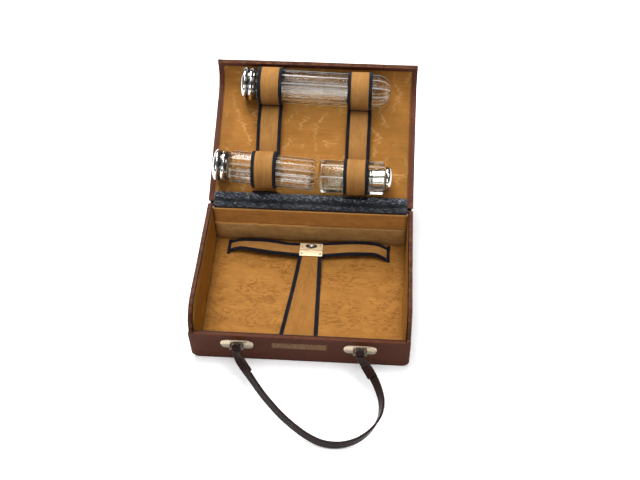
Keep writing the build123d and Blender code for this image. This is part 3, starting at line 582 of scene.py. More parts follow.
def binding_mat(name):
    """Navy twill tape with a fine slanting rib."""
    k = Nodes(name)
    uv = k.coords("UV")
    u, v_, _ = k.sep(uv)
    wob = k.math("MULTIPLY", k.noise(uv, 180, 2), .0009)
    twill = k.math("SINE", k.math("MULTIPLY", k.math("ADD", k.math("ADD", u, v_), wob), 2 * math.pi / .0023))
    thread = k.math("SINE", k.math("MULTIPLY", k.math("SUBTRACT", u, k.math("MULTIPLY", v_, .6)), 2 * math.pi / .0008))
    n_ = k.noise(uv, 150, 4, .65)
    tone = k.mix(k.ramp(twill, [(.0, 0.0), (1.0, 1.0)]), (.0019, .0021, .0036), (.0088, .0104, .0178))
    tone = k.mix(k.math("MULTIPLY", k.ramp(n_, [(.52, 0.0), (.72, 1.0)]), .38), tone, (.034, .043, .068))
    k.set("color", tone)
    k.set("rough", .55)
    k.set("spec", .16)
    k.set("sheen", .04)
    k.set("sheen_rough", .4)
    k.set("sheen_tint", (.55, .66, .95))
    k.set("normal", k.bump(k.math("ADD", twill, k.math("MULTIPLY", thread, .4)), .00016))
    return k.mat


def navy_leather_mat(name):
    """Coarse-grained navy leather, rubbed pale on its high grain, with painted shade in the fold, over the lower roll
    and underneath.
    """
    k = Nodes(name)
    v = k.coords()
    long_ = k.coords(scale=(270, 880, 880))
    cells = k.voronoi(long_, 1.0, "F1")
    crease = k.voronoi(k.coords(scale=(190, 620, 620)), 1.0, "DISTANCE_TO_EDGE")
    worn = k.noise(k.coords(scale=(30, 240, 240)), 1.0, 4, .6)
    tone = k.mix(k.ramp(worn, [(.35, 0.0), (.7, 1.0)]), (.006, .0085, .015), (.022, .027, .040))
    tips = k.math("MULTIPLY", k.ramp(cells, [(0.20, 1.0), (.50, 0.0)]), k.ramp(k.noise(v, 210, 4, .7), [(.33, 0.0), (.56, 1.0)]))
    tone = k.mix(k.math("MULTIPLY", tips, .95), tone, (.38, .42, .50))
    brown = k.ramp(k.noise(v, 120, 3, .6), [(.58, 0.0), (.70, 1.0)])
    tone = k.mix(k.math("MULTIPLY", brown, .30), tone, (.14, .09, .06))
    # painted shade by the 'crease' amounts: near black in the gusset's crease and underneath, darker over the lower
    # roll
    fold = k.attr("crease")
    tone = k.mix(k.math("MULTIPLY", fold, .93, clamp=True), tone, (.0025, .003, .005))
    k.set("color", tone)
    k.set("rough", .42)
    k.set("spec", .45)
    k.set("normal", k.bump(k.math("ADD", k.math("SUBTRACT", 1.0, cells), k.ramp(crease, [(0.0, 0.0), (.25, 1.0)])), .00045))
    return k.mat


def metal(name, color, rough, scratch=.4, tarnish_and_shade=(.2, .16, .12), tarnish_amount=.25, brushed=None, bump=.00002, groove=False, metallic=1.0):
    k = Nodes(name, metal=metallic)
    v = k.coords()
    t_ = k.ramp(k.noise(v, 130, 5, .6), [(.5, 0.0), (.78, 1.0)])
    tone = k.mix(k.math("MULTIPLY", t_, tarnish_amount), color, tarnish_and_shade)
    # the 'groove' attribute darkens: oxide in the silver caps' grooves, and painted shade on the handle plates' lower
    # faces, on the staples and round the push button's foot
    if groove:
        g = k.attr("groove")
        tone = k.mix(k.math("MULTIPLY", k.math("MULTIPLY", g, k.math("ADD", .75, k.math("MULTIPLY", k.noise(v, 260, 3, .6), .5))), .95, clamp=True), tone, (.030, .022, .015))
    k.set("color", tone)
    s = k.noise(k.coords(scale=brushed or (1, 1, 1)), 700 if not brushed else 1.0, 4, .7)
    k.set("rough", k.math("ADD", rough, k.math("MULTIPLY", k.math("SUBTRACT", s, .5), scratch * .3), clamp=True))
    k.set("normal", k.bump(k.math("ADD", s, k.math("MULTIPLY", t_, .3)), bump))
    return k.mat


def glass_mat(name, tint=(.97, .985, .975), ior=1.22, wave=.5):
    """Pressed glass: clear walls with a hard gloss, a little wavy and hazed."""
    k = Nodes(name, trans=1.0, ior=ior, color=tint)
    v = k.coords()
    haze = k.ramp(k.noise(v, 60, 5, .65), [(.52, 0.0), (.8, 1.0)])
    streak = k.noise(k.coords(scale=(8, 150, 150)), 1.0, 4, .62)
    ridge = k.ramp(k.attr("ridge"), [(.80, 0.0), (.97, 1.0)])
    seeds = k.ramp(k.noise(k.coords(scale=(260, 420, 420)), 1.0, 2, .5), [(.60, 0.0), (.72, 1.0)])
    k.set("rough", k.math("ADD", k.math("ADD", .010, k.math("MULTIPLY", haze, .06)), k.math("MULTIPLY", ridge, .38)))
    k.set("coat", k.math("MAXIMUM", k.ramp(streak, [(.42, .06), (.52, .25), (.64, 1.0)]), k.math("MAXIMUM", ridge, seeds)))
    # painted highlight: along the facet ridges the glass passes less light and shows its whitish tint, as bright lines
    # on each facet edge
    k.set("trans", k.math("SUBTRACT", 1.0, k.math("MULTIPLY", ridge, .20)))
    k.set("coat_rough", .03)
    k.p.inputs["Coat IOR"].default_value = 1.42
    height = k.math("ADD", k.noise(k.coords(scale=(60, 110, 110)), 1.0, 2, .5), k.math("MULTIPLY", k.noise(v, 420, 3, .7), .04))
    height = k.math("ADD", height, k.math("ADD", k.math("MULTIPLY", streak, .34), k.math("MULTIPLY", seeds, .20)))
    k.set("normal", k.bump(height, .0008, wave))
    return k.mat


def board_mat():
    k = Nodes("board")
    v = k.coords(scale=(12, 140, 140))
    k.set("color", k.mix(k.noise(v, 1.0, 5, .6), (.36, .26, .16), (.52, .40, .27)))
    k.set("rough", .8)
    k.set("normal", k.bump(k.noise(v, 3.0, 4, .6), .0002))
    return k.mat


def cork_mat():
    k = Nodes("cork")
    v = k.coords()
    c = k.voronoi(v, 900, "F1")
    k.set("color", k.mix(k.ramp(c, [(0.1, 0.0), (.7, 1.0)]), (.30, .18, .10), (.55, .38, .22)))
    k.set("rough", .85)
    k.set("normal", k.bump(c, .0002))
    return k.mat


M = {
    "brown_leather": leather("brown_leather", (.054, .0160, .0075), (.082, .0255, .012), (.20, .09, .05), spec=.07),
    # the side and front leathers paint a shade line along their inner top edges
    "side_leather": leather("side_leather", (.054, .0145, .0065), (.082, .0240, .0115), (.24, .11, .06), grain=560, bump=.00026, spec=.06, wear_amount=.8, gap_shade=(0, .1160)),
    "front_leather": leather("front_leather", (.068, .0160, .0052), (.090, .0225, .0078), (.22, .095, .050), grain=1100, bump=.00006, rough=.38, patch=True, wear_amount=.3, spec=.05, gap_shade=(1, .0826)),
    "lid_border_leather": leather("lid_border_leather", (.080, .0250, .0140), (.128, .045, .0275), (.25, .12, .07), grain=600, bump=.00030, spec=.06, wear_amount=.8),
    "bottom_leather": leather("bottom_leather", (.036, .016, .011), (.062, .028, .018), (.18, .10, .06), spec=.1),
    "navy_leather": navy_leather_mat("navy_leather"),
    "handle_leather": leather("handle_leather", (.013, .0058, .0045), (.030, .0150, .0120), (.12, .065, .050), grain=700, bump=.00022, rough=.28, wear_amount=.3, spec=.13, edge=(.005, .0035, .003)),
    "board": board_mat(),
    # the last argument of each lining silk sets its painted shade towards the panel's edges
    "silk": silk("silk", (.335, .142, .0285), (.60, .36, .14), (.19, .076, .017), line=.9, edge_shade=((0.0, .1133), (.082, .088), .026, .50)),
    "silk_floor": silk("silk_floor", (.330, .146, .031), (.17, .062, .012), (.19, .075, .016), line=1.15, seed=3.1, contour=True, mottle=1.5, edge_shade=((0.0, .1143), (0.0, .0812), .010, .55)),
    "silk_side": silk("silk_side", (.355, .158, .0250), (.20, .08, .02), (.15, .066, .016), line=.25, seed=7.7, streak=.5, edge_shade=((0.0, .0812), (.041, .0350), .0055, .85)),
    # painted light: the rear wall's two silks get a lighter base than the other linings, to make up for the shade under
    # the hinge gusset
    "silk_rear": silk("silk_rear", (.55, .262, .071), (.45, .23, .08), (.22, .10, .030), line=.3, seed=9.7, streak=.6, mottle=1.4, edge_shade=((0.0, .1146), (.03, .5), .0045, .9)),
    "silk_pocket": silk("silk_pocket", (.445, .258, .094), (.23, .115, .040), (.18, .10, .035), line=.5, seed=1.9, streak=1.2, mottle=1.6, contour=True, edge_shade=((0.0, .1146), (.03, .5), .0045, .9)),
    "silk_strap": silk("silk_strap", (.335, .162, .046), (.24, .105, .03), (.22, .098, .028), line=.6, streak=.9, seed=5.0, mottle=1.2, bump=.00012, contour=True),
    "silk_catch": silk("silk_catch", (.29, .128, .028), (.18, .070, .016), (.22, .090, .024), line=.7, streak=.8, seed=6.2, mottle=1.0, contour=True),
    "navy_binding": binding_mat("navy_binding"),
    "clear_glass": glass_mat("clear_glass", wave=.9),
    "jar_glass": glass_mat("jar_glass", (.93, .955, .90), 1.34, 1.1),
    "silver": metal("silver", (.90, .88, .84), .05, .15, (.50, .40, .26), .25, groove=True),
    "cork": cork_mat(),
    "gilt_brass": metal("gilt_brass", (.90, .72, .47), .30, .5, (.50, .37, .20), .35, metallic=.5),
    "rivet_dark": metal("rivet_dark", (.010, .008, .007), .5, .5, metallic=.1),
    "gilt_tongue": metal("gilt_tongue", (.78, .60, .38), .34, .5, (.45, .33, .18), .4, metallic=.5),
    "plated_steel": metal("plated_steel", (.60, .48, .34), .26, .8, (.32, .24, .15), .55, metallic=.8, groove=True),
    "spring_steel": metal("spring_steel", (.40, .40, .40), .35),
}


def use(o, slot, mat=None):
    o.data.materials.clear()
    o.data.materials.append(M[mat or slot])
    return o


def put(o, body, nodes, slot, mat=None):
    use(o, slot, mat)
    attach(o, body)
    if nodes:
        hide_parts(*nodes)
    return o


# CAD nodes that stay get the same materials
slot_of = {s["node"]: s["material_slot"] for s in frame["record"]["subparts"]}
for node, obj in frame["nodes"].items():
    obj.data.materials.clear()
    obj.data.materials.append(M["rivet_dark" if node in ("hasp_rivets", "catch_pins") else slot_of[node]])

# ------------------------------------------------------------------ leather shells
for side in ("left", "right"):
    put(from_cad("case_side_" + side, ["side_leather_" + side], bevel=1.0, amp=.22, seed=1.0), "base", ["side_leather_" + side], "brown_leather", "side_leather")
put(from_cad("case_front", ["front_leather"], bevel=1.1, amp=.18, seed=1.0), "base", ["front_leather"], "brown_leather", "front_leather")
put(from_cad("case_rear", ["rear_leather"], bevel=.5, amp=.18, seed=1.0), "base", ["rear_leather"], "brown_leather")
put(from_cad("case_bottom", ["bottom_leather"], bevel=.4, amp=.1, seed=1.0), "base", ["bottom_leather"], "bottom_leather")
put(from_cad("lid_cover", ["lid_leather"], bevel=1.0, amp=.25, seed=2.0), "lid", ["lid_leather"], "brown_leather")
put(from_cad("lid_frame", ["lid_border"], bevel=.22, amp=.25, seed=2.0), "lid", ["lid_border"], "lid_border_leather")

# ------------------------------------------------------------------ linings of the base
IX, FY, RY, FZ = 114.4, -81.2, 81.0, 6.0      # inner faces, floor

nx, ny = 116, 84
xs = np.linspace(-IX + .15, IX - .15, nx)
ys = np.linspace(FY + .15, RY - .15, ny)
P = np.zeros((nx, ny, 3))
for i, x in enumerate(xs):
    for j, y in enumerate(ys):
        edge = min(IX - abs(x), y - FY, RY - y)
        pad = 1 - math.exp(-edge / 5.0)
        z = FZ - .75 + .72 * pad + pad * (.22 * nz(x, y, 0, .018) + .16 * nz(x, y, 0, .05, 3) + .05 * nz(x * .4, y, 0, .3, 5))
        P[i, j] = (x, y, z)
uv = np.stack(np.meshgrid(xs * MM, ys * MM, indexing="ij"), -1)
floor_lining = sheet("floor_silk", P, .6, uv)
put(floor_lining, "base", ["floor_lining"], "silk", "silk_floor")


def side_top(y, inset):
    """Height of the side lining's top at depth y."""
    r = 26.0 - inset
    ay, az = -55.2, 43.2
    ty = ay + r * math.cos(rad(90 - 3.5))
    if y >= ty:
        return wall_top(y) - inset / math.cos(WEDGE)
    d = y - ay
    if abs(d) >= r:
        return az
    return max(az, az + math.sqrt(r * r - d * d))


for side, sign in (("left", -1), ("right", 1)):
    n, m = 84, 34
    P = np.zeros((n, m, 3))
    U = np.zeros((n, m, 2))
    for i in range(n):
        y = FY + .1 + (RY - FY - .2) * i / (n - 1)
        top = side_top(y, 1.25)
        for j in range(m):
            f = j / (m - 1)
            z = FZ - .6 + (top - FZ + .6) * f
            low = math.exp(-max(z - FZ - 2.5, 0) / 6.5) * (1 - math.exp(-max(z - FZ, 0) / 1.6))
            along = max(0.0, math.sin(math.pi * i / (n - 1))) ** .6
            bulge = along * (.35 * (1 - f) + low * (1.7 + 2.4 * nz(0, y, 0, .028, 4 + sign) + 1.1 * nz(0, y, 0, .08, 8 + sign)))
            bulge += along * .22 * nz(0, y, z, .06, 9 + sign) * (1 - f ** 4)
            bulge = max(bulge, -.1)
            P[i, j] = (sign * (IX - bulge), y, z)
            U[i, j] = (y * MM, z * MM)
    lining = sheet("side_silk_" + side, P, .6, U, flip=(sign > 0))
    put(lining, "base", ["side_lining_" + side], "silk", "silk_side")

# front lining
n, m = 90, 16
P = np.zeros((n, m, 3)); U = np.zeros((n, m, 2))
for i in range(n):
    x = -IX + .2 + (2 * IX - .4) * i / (n - 1)
    for j in range(m):
        z = FZ - .6 + (44.1 - FZ + .6) * j / (m - 1)
        b = .3 * math.exp(-(z - FZ) / 5) + .12 * nz(x, 0, z, .05, 6)
        P[i, j] = (x, FY + max(b, 0), z)
        U[i, j] = (x * MM, z * MM)
put(sheet("front_silk", P, .6, U), "base", ["front_lining"], "silk", "silk_side")

# rear wall: upper panel, and the shallow pocket with its gathered top
n, m = 110, 26
P = np.zeros((n, m, 3)); U = np.zeros((n, m, 2))
for i in range(n):
    x = -IX + .2 + (2 * IX - .4) * i / (n - 1)
    for j in range(m):
        z = FZ - .4 + (58.2 - FZ + .4) * j / (m - 1)
        b = .25 + .25 * nz(x, 0, z, .03, 2) + .12 * nz(x, 0, z, .09, 3)
        P[i, j] = (x, RY - b * min(1, (58.2 - z) / 4), z)
        U[i, j] = (x * MM, z * MM)
put(sheet("rear_silk", P, .6, U, flip=True), "base", ["rear_lining"], "silk", "silk_rear")

n, m = 130, 26
P = np.zeros((n, m, 3)); U = np.zeros((n, m, 2))
for i in range(n):
    x = -113.9 + 227.8 * i / (n - 1)
    end = min(1.0, (113.9 - abs(x)) / 7.0)
    for j in range(m):
        f = j / (m - 1)
        z = FZ + .1 + (32.9 + .3 * nz(x, 0, 0, .05) - FZ) * f
        belly = max(0.0, math.sin(math.pi * min(1, .12 + f * .82))) ** .8
        b = 1.3 + end * (2.6 * belly + 1.3 * nz(x, 0, z, .022, 12) * belly + .55 * nz(x * 1.6, 0, z, .09, 14) * (.4 + f * .6))
        P[i, j] = (x, RY - max(b, 1.2), z)
        U[i, j] = (x * MM, z * MM)
pocket = sheet("rear_pocket_silk", P, .8, U, flip=True)
put(pocket, "base", ["rear_pocket"], "silk", "silk_pocket")
# hem roll along the pocket's top
hem = P[:, -1] + np.array([0, .35, .1])
A = np.tile([0, 1.0, 0], (n, 1)); B = np.tile([0, 0, 1.0], (n, 1))
put(sweep("rear_pocket_hem", hem, A, B, rrect(1.5, 1.5, .7)), "base", [], "silk", "silk_rear")

# ------------------------------------------------------------------ lid lining, following the curled front
LX, S0 = 113.3, 7.7
lip_r = CT - TOP
lip_end = rad(66.0)


def lid_surface(arc, lift):
    """Point (s, t) at run arc along the lined face, lift above it."""
    flat = CS - S0
    if arc <= flat:
        return S0 + arc, TOP + lift
    a = (arc - flat) / lip_r
    r = lip_r - lift
    return CS + r * math.sin(a), CT - r * math.cos(a)


s_tip = None
lo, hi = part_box("lid_lining")
# the lining's end along the curl: the highest point of its CAD solid
a_end = None
for v in frame["nodes"]["lid_lining"].data.vertices:
    y, z = v.co.y / MM - HY, v.co.z / MM - HZ
    s, t = y * co + z * so, -y * so + z * co
    if s > CS:
        a = math.atan2(s - CS, CT - t)
        a_end = a if a_end is None else max(a_end, a)
arc_end = (CS - S0) + lip_r * a_end - .1
nx, ns = 116, 100
P = np.zeros((nx, ns, 3)); U = np.zeros((nx, ns, 2))
for i in range(nx):
    x = -LX + 2 * LX * i / (nx - 1)
    for j in range(ns):
        arc = arc_end * j / (ns - 1)
        edge = min(LX - abs(x), arc_end - arc, arc + 2)
        pad = 1 - math.exp(-max(edge, 0) / 3.2)
        lift = -.75 + .85 * pad + pad * (.22 * nz(x, arc, 0, .02, 21) + .12 * nz(x, arc, 0, .06, 22))
        # puckers where the straps are sewn down near the curl
        for cx in (-53.5, 52.6):
            d = math.hypot((x - cx - 2) / 17, (arc - 157.0) / 5.0)
            lift += 1.5 * math.exp(-d * d) * pad
        s, t = lid_surface(arc, min(lift, 1.2))
        P[i, j] = L(x, s, t)
        U[i, j] = (x * MM, arc * MM)
put(sheet("lid_silk", P, .8, U), "lid", ["lid_lining"], "silk", "silk")

# ------------------------------------------------------------------ hinge leathers
n = 120


def navy_gusset():
    """The padded navy fold between lid and base: a roll on each side of a crease."""
    # amounts of painted shade per profile point: little on the upper roll, about half on the lower roll, full in the
    # crease and underneath
    fold = [.9, .25, 0, 0, 0, .05, .5, 1.0, 1.0, .88, .60, .50, .62, .70, .58, .92, 1.0] + [1.0] * 9
    pts = [(13.0, .05), (13.2, 1.2), (12.3, 2.8), (10.2, 3.7), (7.9, 3.6), (5.9, 2.9), (4.7, 1.7), (3.9, .7), (2.6, .35)]
    top = [L(0, s, t)[1:] for s, t in pts]
    top += [(88.5, 60.9), (87.6, 61.9), (86.3, 62.8), (84.9, 62.9), (83.5, 62.3), (82.3, 61.1), (81.7, 59.7), (81.6, 58.1)]
    under = [(82.2, 57.6), (83.0, 57.7), (84.4, 57.8), (85.6, 59.4), (86.8, 60.4)] + [tuple(L(0, s, t)[1:]) for s, t in ((2.4, .25), (4.4, .1), (7.6, .1), (10.4, .1))]
    prof = [tuple(p) for p in top] + under
    k = len(prof)
    prof = np.array(prof)
    cy, cz = prof[:, 0].mean(), prof[:, 1].mean()
    V, uvs = [], []
    for i in range(n):
        x = -113.6 + 227.2 * i / (n - 1)
        end = min(1.0, max(0.0, 113.7 - abs(x)) / 4.0) ** .5
        for j in range(k):
            y, z = prof[j]
            if j < len(top):
                w = .25 * nz(x, y, z, .05, 31) + .16 * nz(x, y, z, .25, 33)
                dy, dz = y - 86.5, z - 59.5
                q = math.hypot(dy, dz) or 1
                y += w * dy / q; z += w * dz / q
                base_z = 60.7 if y > 86.5 else 57.6
                if y > 87:
                    floor_ = HZ + (y - HY) * math.tan(OPEN) + .2
                else:
                    floor_ = min(z, 58.5)
                z = floor_ + (z - floor_) * (.35 + .65 * end)
            V.append((x, y, z))
            uvs.append((x * MM, j * .0012))
    faces = [(i * k + j, (i + 1) * k + j, (i + 1) * k + (j + 1) % k, i * k + (j + 1) % k) for i in range(n - 1) for j in range(k)]
    faces.append(tuple(range(k - 1, -1, -1)))
    faces.append(tuple((n - 1) * k + j for j in range(k)))
    o = fix_normals(new_object("hinge_gusset", V, faces, uvs))
    layer = o.data.attributes.new("crease", "FLOAT", "POINT")
    layer.data.foreach_set("value", np.tile(np.array(fold[:k], dtype=np.float32), n))
    m = o.modifiers.new("sub", "SUBSURF"); m.levels = 1; m.render_levels = 1
    apply_mods(o)
    o.data.polygons.foreach_set("use_smooth", [True] * len(o.data.polygons))
    return o


gusset = navy_gusset()
use(gusset, "navy_leather")
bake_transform(gusset)
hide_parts("hinge_gusset_base", "hinge_gusset_lid")


def hinge_back():
    """Leather strip that joins the lid's back to the rear wall."""
    mid = [L(0, 15.0, -5.35)[1:], L(0, 10.0, -5.4)[1:], L(0, 5.5, -5.5)[1:], L(0, 3.0, -5.9)[1:], (91.3, 54.2), (89.5, 52.6), (88.0, 51.6), (87.0, 50.2), (86.65, 48.0), (86.6, 44.0), (86.6, 40.0)]
    mid = np.array([tuple(p) for p in mid])
    mid = np.array(chaikin([tuple(p) for p in mid], 2))
    m = len(mid)
    P = np.zeros((n, m, 3)); U = np.zeros((n, m, 2))
    for i in range(n):
        x = -118.6 + 237.2 * i / (n - 1)
        for j in range(m):
            y, z = mid[j]
            w = .12 * nz(x, j, 0, .06, 41)
            P[i, j] = (x, y + w, z - w)
            U[i, j] = (x * MM, j * .0015)
    o = sheet("hinge_back", P, 1.0, U)
    o.data.attributes.new("wear", "FLOAT", "POINT")
    return o


back = hinge_back()
use(back, "brown_leather")
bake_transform(back)
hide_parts("hinge_leather")

# ------------------------------------------------------------------ lid straps
TUBE = (-89.1, 143.1, 20.9, -1.6)
BOTTLE = (-113.8, 39.4, 19.9, -4.0)
JAR = (9.6, 30.2, 19.6, 0.0)


CREASE_S, CREASE_T = 19.4, 7.6      # the seam between the tube's loop and the bridge, from the tube's axis and off the lid


def axis_s(v, x):
    return v[1] + (x - v[0]) * math.tan(rad(v[3]))


def strap_path(x_mid, small, r_small):
    """(s, t) path of the ribbon's middle: big loop, bridge, small loop. Returns its points."""
    s1, t1, r1 = axis_s(TUBE, x_mid), TUBE[2], 21.25
    s2, t2, r2 = axis_s(small, x_mid), small[2], r_small + .6
    pts = []
    # start: on the curl beyond the tube
    for a in np.linspace(-42, 204, 50):
        pts.append((s1 + r1 * math.cos(rad(a)), t1 + r1 * math.sin(rad(a))))
    pts.append((s1 - CREASE_S + .1, CREASE_T + 1.4))
    pts.append((s1 - CREASE_S - .2, CREASE_T + .3))
    foot_a, foot_b = s1 - CREASE_S - 1.7, s2 + r2 + 1.6
    for f in np.linspace(0.0, 1.0, 36):
        s = foot_a + (foot_b - foot_a) * f
        t = CREASE_T + (TOP + .75 - CREASE_T) * f ** 1.2 + 4.9 * max(0.0, math.sin(math.pi * f ** .9)) ** .9
        pts.append((s, t))
    pts.append((s2 + r2 + .35, 1.2))
    for t in (2.6, 6, 11, 16):
        pts.append((s2 + r2, t))
    for a in np.linspace(0, 222, 46):
        pts.append((s2 + r2 * math.cos(rad(a)), t2 + r2 * math.sin(rad(a))))
    pts = np.array(pts)
    keep = [0]
    for i in range(1, len(pts)):
        if np.linalg.norm(pts[i] - pts[keep[-1]]) > .35:
            keep.append(i)
    pts = pts[keep]
    return pts


def resample(pts, step):
    pts = np.asarray(pts, float)
    run = np.concatenate([[0], np.cumsum(np.linalg.norm(np.diff(pts, axis=0), axis=1))])
    n_ = max(2, int(run[-1] / step))
    at = np.linspace(0, run[-1], n_)
    return np.stack([np.interp(at, run, pts[:, k]) for k in range(pts.shape[1])], 1)


def normals2(pts):
    d = np.gradient(pts, axis=0)
    d /= np.linalg.norm(d, axis=1)[:, None] + 1e-12
    return np.stack([-d[:, 1], d[:, 0]], 1)


for side, x_mid, small, r_small in (("left", -53.9, BOTTLE, 20.3), ("right", 52.4, JAR, 19.5)):
    pts = resample(strap_path(x_mid, small, r_small), 1.1)
    for _ in range(2):
        pts[1:-1] = (pts[:-2] + 2 * pts[1:-1] + pts[2:]) / 4
    nrm = -normals2(pts)                     # path runs hinge-wards, so this points off the vessels
    n = len(pts)
    C = np.array([L(x_mid, s, t) for s, t in pts])
    A = np.tile([1.0, 0, 0], (n, 1))
    B = np.array([[0, -t_ * so + s_ * co, s_ * so + t_ * co] for s_, t_ in nrm])
    sgn = 1 if side == "left" else -1
    shift = np.array([.35 * nz(i * .7, 0, 0, .05, 51 + sgn) for i in range(n)])
    C[:, 0] += shift

    def crown(V, A_, B_, n=n, sgn=sgn):
        for i in range(n):
            for j in range(V.shape[1]):
                a = V[i, j, 0]
                V[i, j] += B_[i] * (.12 * nz(a, i * 1.1, 0, .09, 61 + sgn))
        return V
    ribbon = sweep("lid_ribbon_" + side, C, A, B, rrect(21.6, 1.0, .45, 2, 12), displace=crown)
    put(ribbon, "lid", ["lid_strap_" + side], "silk_strap")
    for which, off in (("a", -12.35), ("b", 12.35)):
        Cb = C + A * off
        tape = sweep("lid_ribbon_%s_tape_%s" % (side, which), Cb, A, B, rrect(4.2, 1.75, .8, 3), displace=None)
        put(tape, "lid", ["lid_strap_" + side + "_binding"] if which == "a" else [], "navy_binding")

# navy tapes sewn across each foot of the straps
for side, x_mid, small, r_small in (("left", -53.9, BOTTLE, 20.3), ("right", 52.4, JAR, 19.5)):
    s1 = axis_s(TUBE, x_mid) - CREASE_S
    s2 = axis_s(small, x_mid) + r_small + .6
    s3 = axis_s(small, x_mid) - r_small - .6
    for k_, (s_, t_, w_) in enumerate(((s1 - .9, CREASE_T + .2, 28.8), (s2 + .9, 1.9, 29.4), (s3 - .6, 3.0, 28.8))):
        m_ = 26
        xs_ = np.linspace(x_mid - w_ / 2, x_mid + w_ / 2, m_)
        path = np.array([L(x, s_ + .25 * nz(x, k_, 0, .12, 44), t_ + .3 * nz(x, k_, 0, .1, 45)) for x in xs_])
        Aa = np.tile([0, -so, co], (m_, 1))
        Bb = np.tile([0, co, so], (m_, 1))
        put(sweep("lid_ribbon_%s_foot_%d" % (side, k_), path, Aa, Bb, rrect(2.6, 1.5, .6, 3)), "lid", [], "navy_binding")

# ------------------------------------------------------------------ glass vessels and silver tops
FAC = 12


def facet_angles(count, delta=2.2):
    out = []
    for k in range(count):
        c = 2 * math.pi * k / count
        h = math.pi / count
        for a in (-h + rad(delta), -h * .4, h * .4, h - rad(delta)):
            out.append(c + a)
    return np.array(out)


def faceted(count, u_on, depth=1.0):
    def shape(th, u, r):
        h = math.pi / count
        a = (th + h) % (2 * h) - h
        flat = r * math.cos(h) / math.cos(a)
        w = min(1.0, max(0.0, (u - u_on) / 2.5)) * depth
        return r + (flat - r) * w
    return shape


def make_glass(name, v, outer, inner, count, u_on, delta=2.2):
    """Faceted outside, round inside."""
    f = faceted(count, u_on)
    marked = [(u, r, True) for u, r in outer] + [(u, r, False) for u, r in inner]
    flags = {}
    for idx, (u, r, out) in enumerate(marked):
        flags.setdefault((round(u, 4), round(r, 4)), out)
    o = lathe(name, v[0], v[1], v[2], v[3], [(u, r) for u, r, _ in marked], seg=facet_angles(count, delta),
              shape=lambda th, u, r: f(th, u, r) if flags[(round(u, 4), round(r, 4))] else r)
    ridge = []
    for u, r, out in marked:
        ridge += [0.0] if r < 1e-6 else [1.0, 0.0, 0.0, 1.0] * count if out and u > u_on else [0.0] * (4 * count)
    layer = o.data.attributes.new("ridge", "FLOAT", "POINT")
    layer.data.foreach_set("value", np.array(ridge, dtype=np.float32))
    return o


tube_out = chaikin([(4.2, 13.2), (4.2, 14.8), (17.6, 14.8), (18.6, 17.5), (20.5, 20.15)], 1) + [(24, 20.2), (60, 20.2), (100, 20.2), (140, 20.2), (163, 20.2)]
tube_out += [(164.2, 19.95), (170.2, 17.9), (171.2, 17.3), (175.0, 13.4), (175.8, 12.2), (177.4, 7.0), (177.6, 5.6), (177.6, 0)]
tube_in = [(174.0, 0), (173.8, 5.0), (172.6, 10.0), (169.2, 14.6), (163.2, 17.4), (158, 17.9), (100, 17.9), (24, 17.9), (20.4, 16.0), (18.8, 13.2), (10, 13.1)]
tube_glass = make_glass("tube_bottle", TUBE, tube_out, tube_in, 12, 19.0, 1.3)
put(tube_glass, "tube", ["tube_glass"], "clear_glass")

bottle_out = chaikin([(4.4, 12.1), (4.4, 13.6), (17.8, 13.6), (19.0, 16.0), (21.5, 18.75)], 1) + [(26, 18.8), (60, 18.8), (90, 18.8), (116.0, 18.8), (117.6, 18.4), (119.0, 17.2), (119.7, 15.6), (119.8, 14.2), (119.8, 0)]
bottle_in = [(116.6, 0), (116.4, 13.2), (114.6, 16.0), (112.0, 16.7), (60, 16.7), (23.5, 16.7), (20.6, 15.0), (18.6, 12.1), (10, 12.0)]
bottle_glass = make_glass("bottle_body", BOTTLE, bottle_out, bottle_in, 16, 20.0, 1.2)
put(bottle_glass, "bottle", ["bottle_glass"], "clear_glass")

jar_out = [(0, 0), (0, 14.6), (.3, 16.0), (1.2, 17.6), (2.6, 18.6), (4.4, 19.0), (20, 19.0), (50, 19.0), (73.4, 19.0), (74.8, 18.6), (75.3, 17.8), (75.4, 16.8)]
jar_in = [(75.4, 12.0), (75.0, 10.9), (74.2, 10.7), (58.0, 10.7), (56.4, 11.4), (52.4, 16.2), (50.8, 17.0), (48, 17.2), (8, 17.2), (5.6, 16.2), (4.6, 13.0), (4.4, 0)]
jar_glass = make_glass("jar_body", JAR, jar_out, jar_in, 8, 1.5, 1.2)
put(jar_glass, "jar", ["jar_glass"], "clear_glass", "jar_glass")

tube_cap = chaikin([(0, 0), (0, 7), (.7, 14.5), (2.4, 18.8), (4.2, 20.2), (6.4, 20.2), (7.6, 18.6), (8.8, 17.8), (10.2, 18.6),
                    (11.2, 19.6), (13.6, 19.6), (14.8, 18.2), (16.6, 18.2), (16.9, 17.8)], 3)
tube_cap += chaikin([(16.7, 17.4), (14.4, 17.4), (13.2, 18.8), (11.5, 18.8), (10.4, 17.8), (8.8, 17.0), (7.3, 17.8), (6.1, 19.4), (4.5, 19.4), (3.0, 18.0), (1.5, 14.2), (.8, 7), (.8, 0)], 2)


def grooved(o, v, table):
    """Marks how deep in a groove each point of a turned piece lies, by its place along the axis."""
    a = rad(v[3])
    O = L(v[0], v[1], v[2])
    U = np.array([math.cos(a), math.sin(a) * co, math.sin(a) * so])
    co_ = np.empty(len(o.data.vertices) * 3)
    o.data.vertices.foreach_get("co", co_)
    u = (co_.reshape(-1, 3) / MM - O) @ U
    layer = o.data.attributes.new("groove", "FLOAT", "POINT")
    layer.data.foreach_set("value", np.interp(u, [p for p, _ in table], [q for _, q in table]).astype(np.float32))
    return o


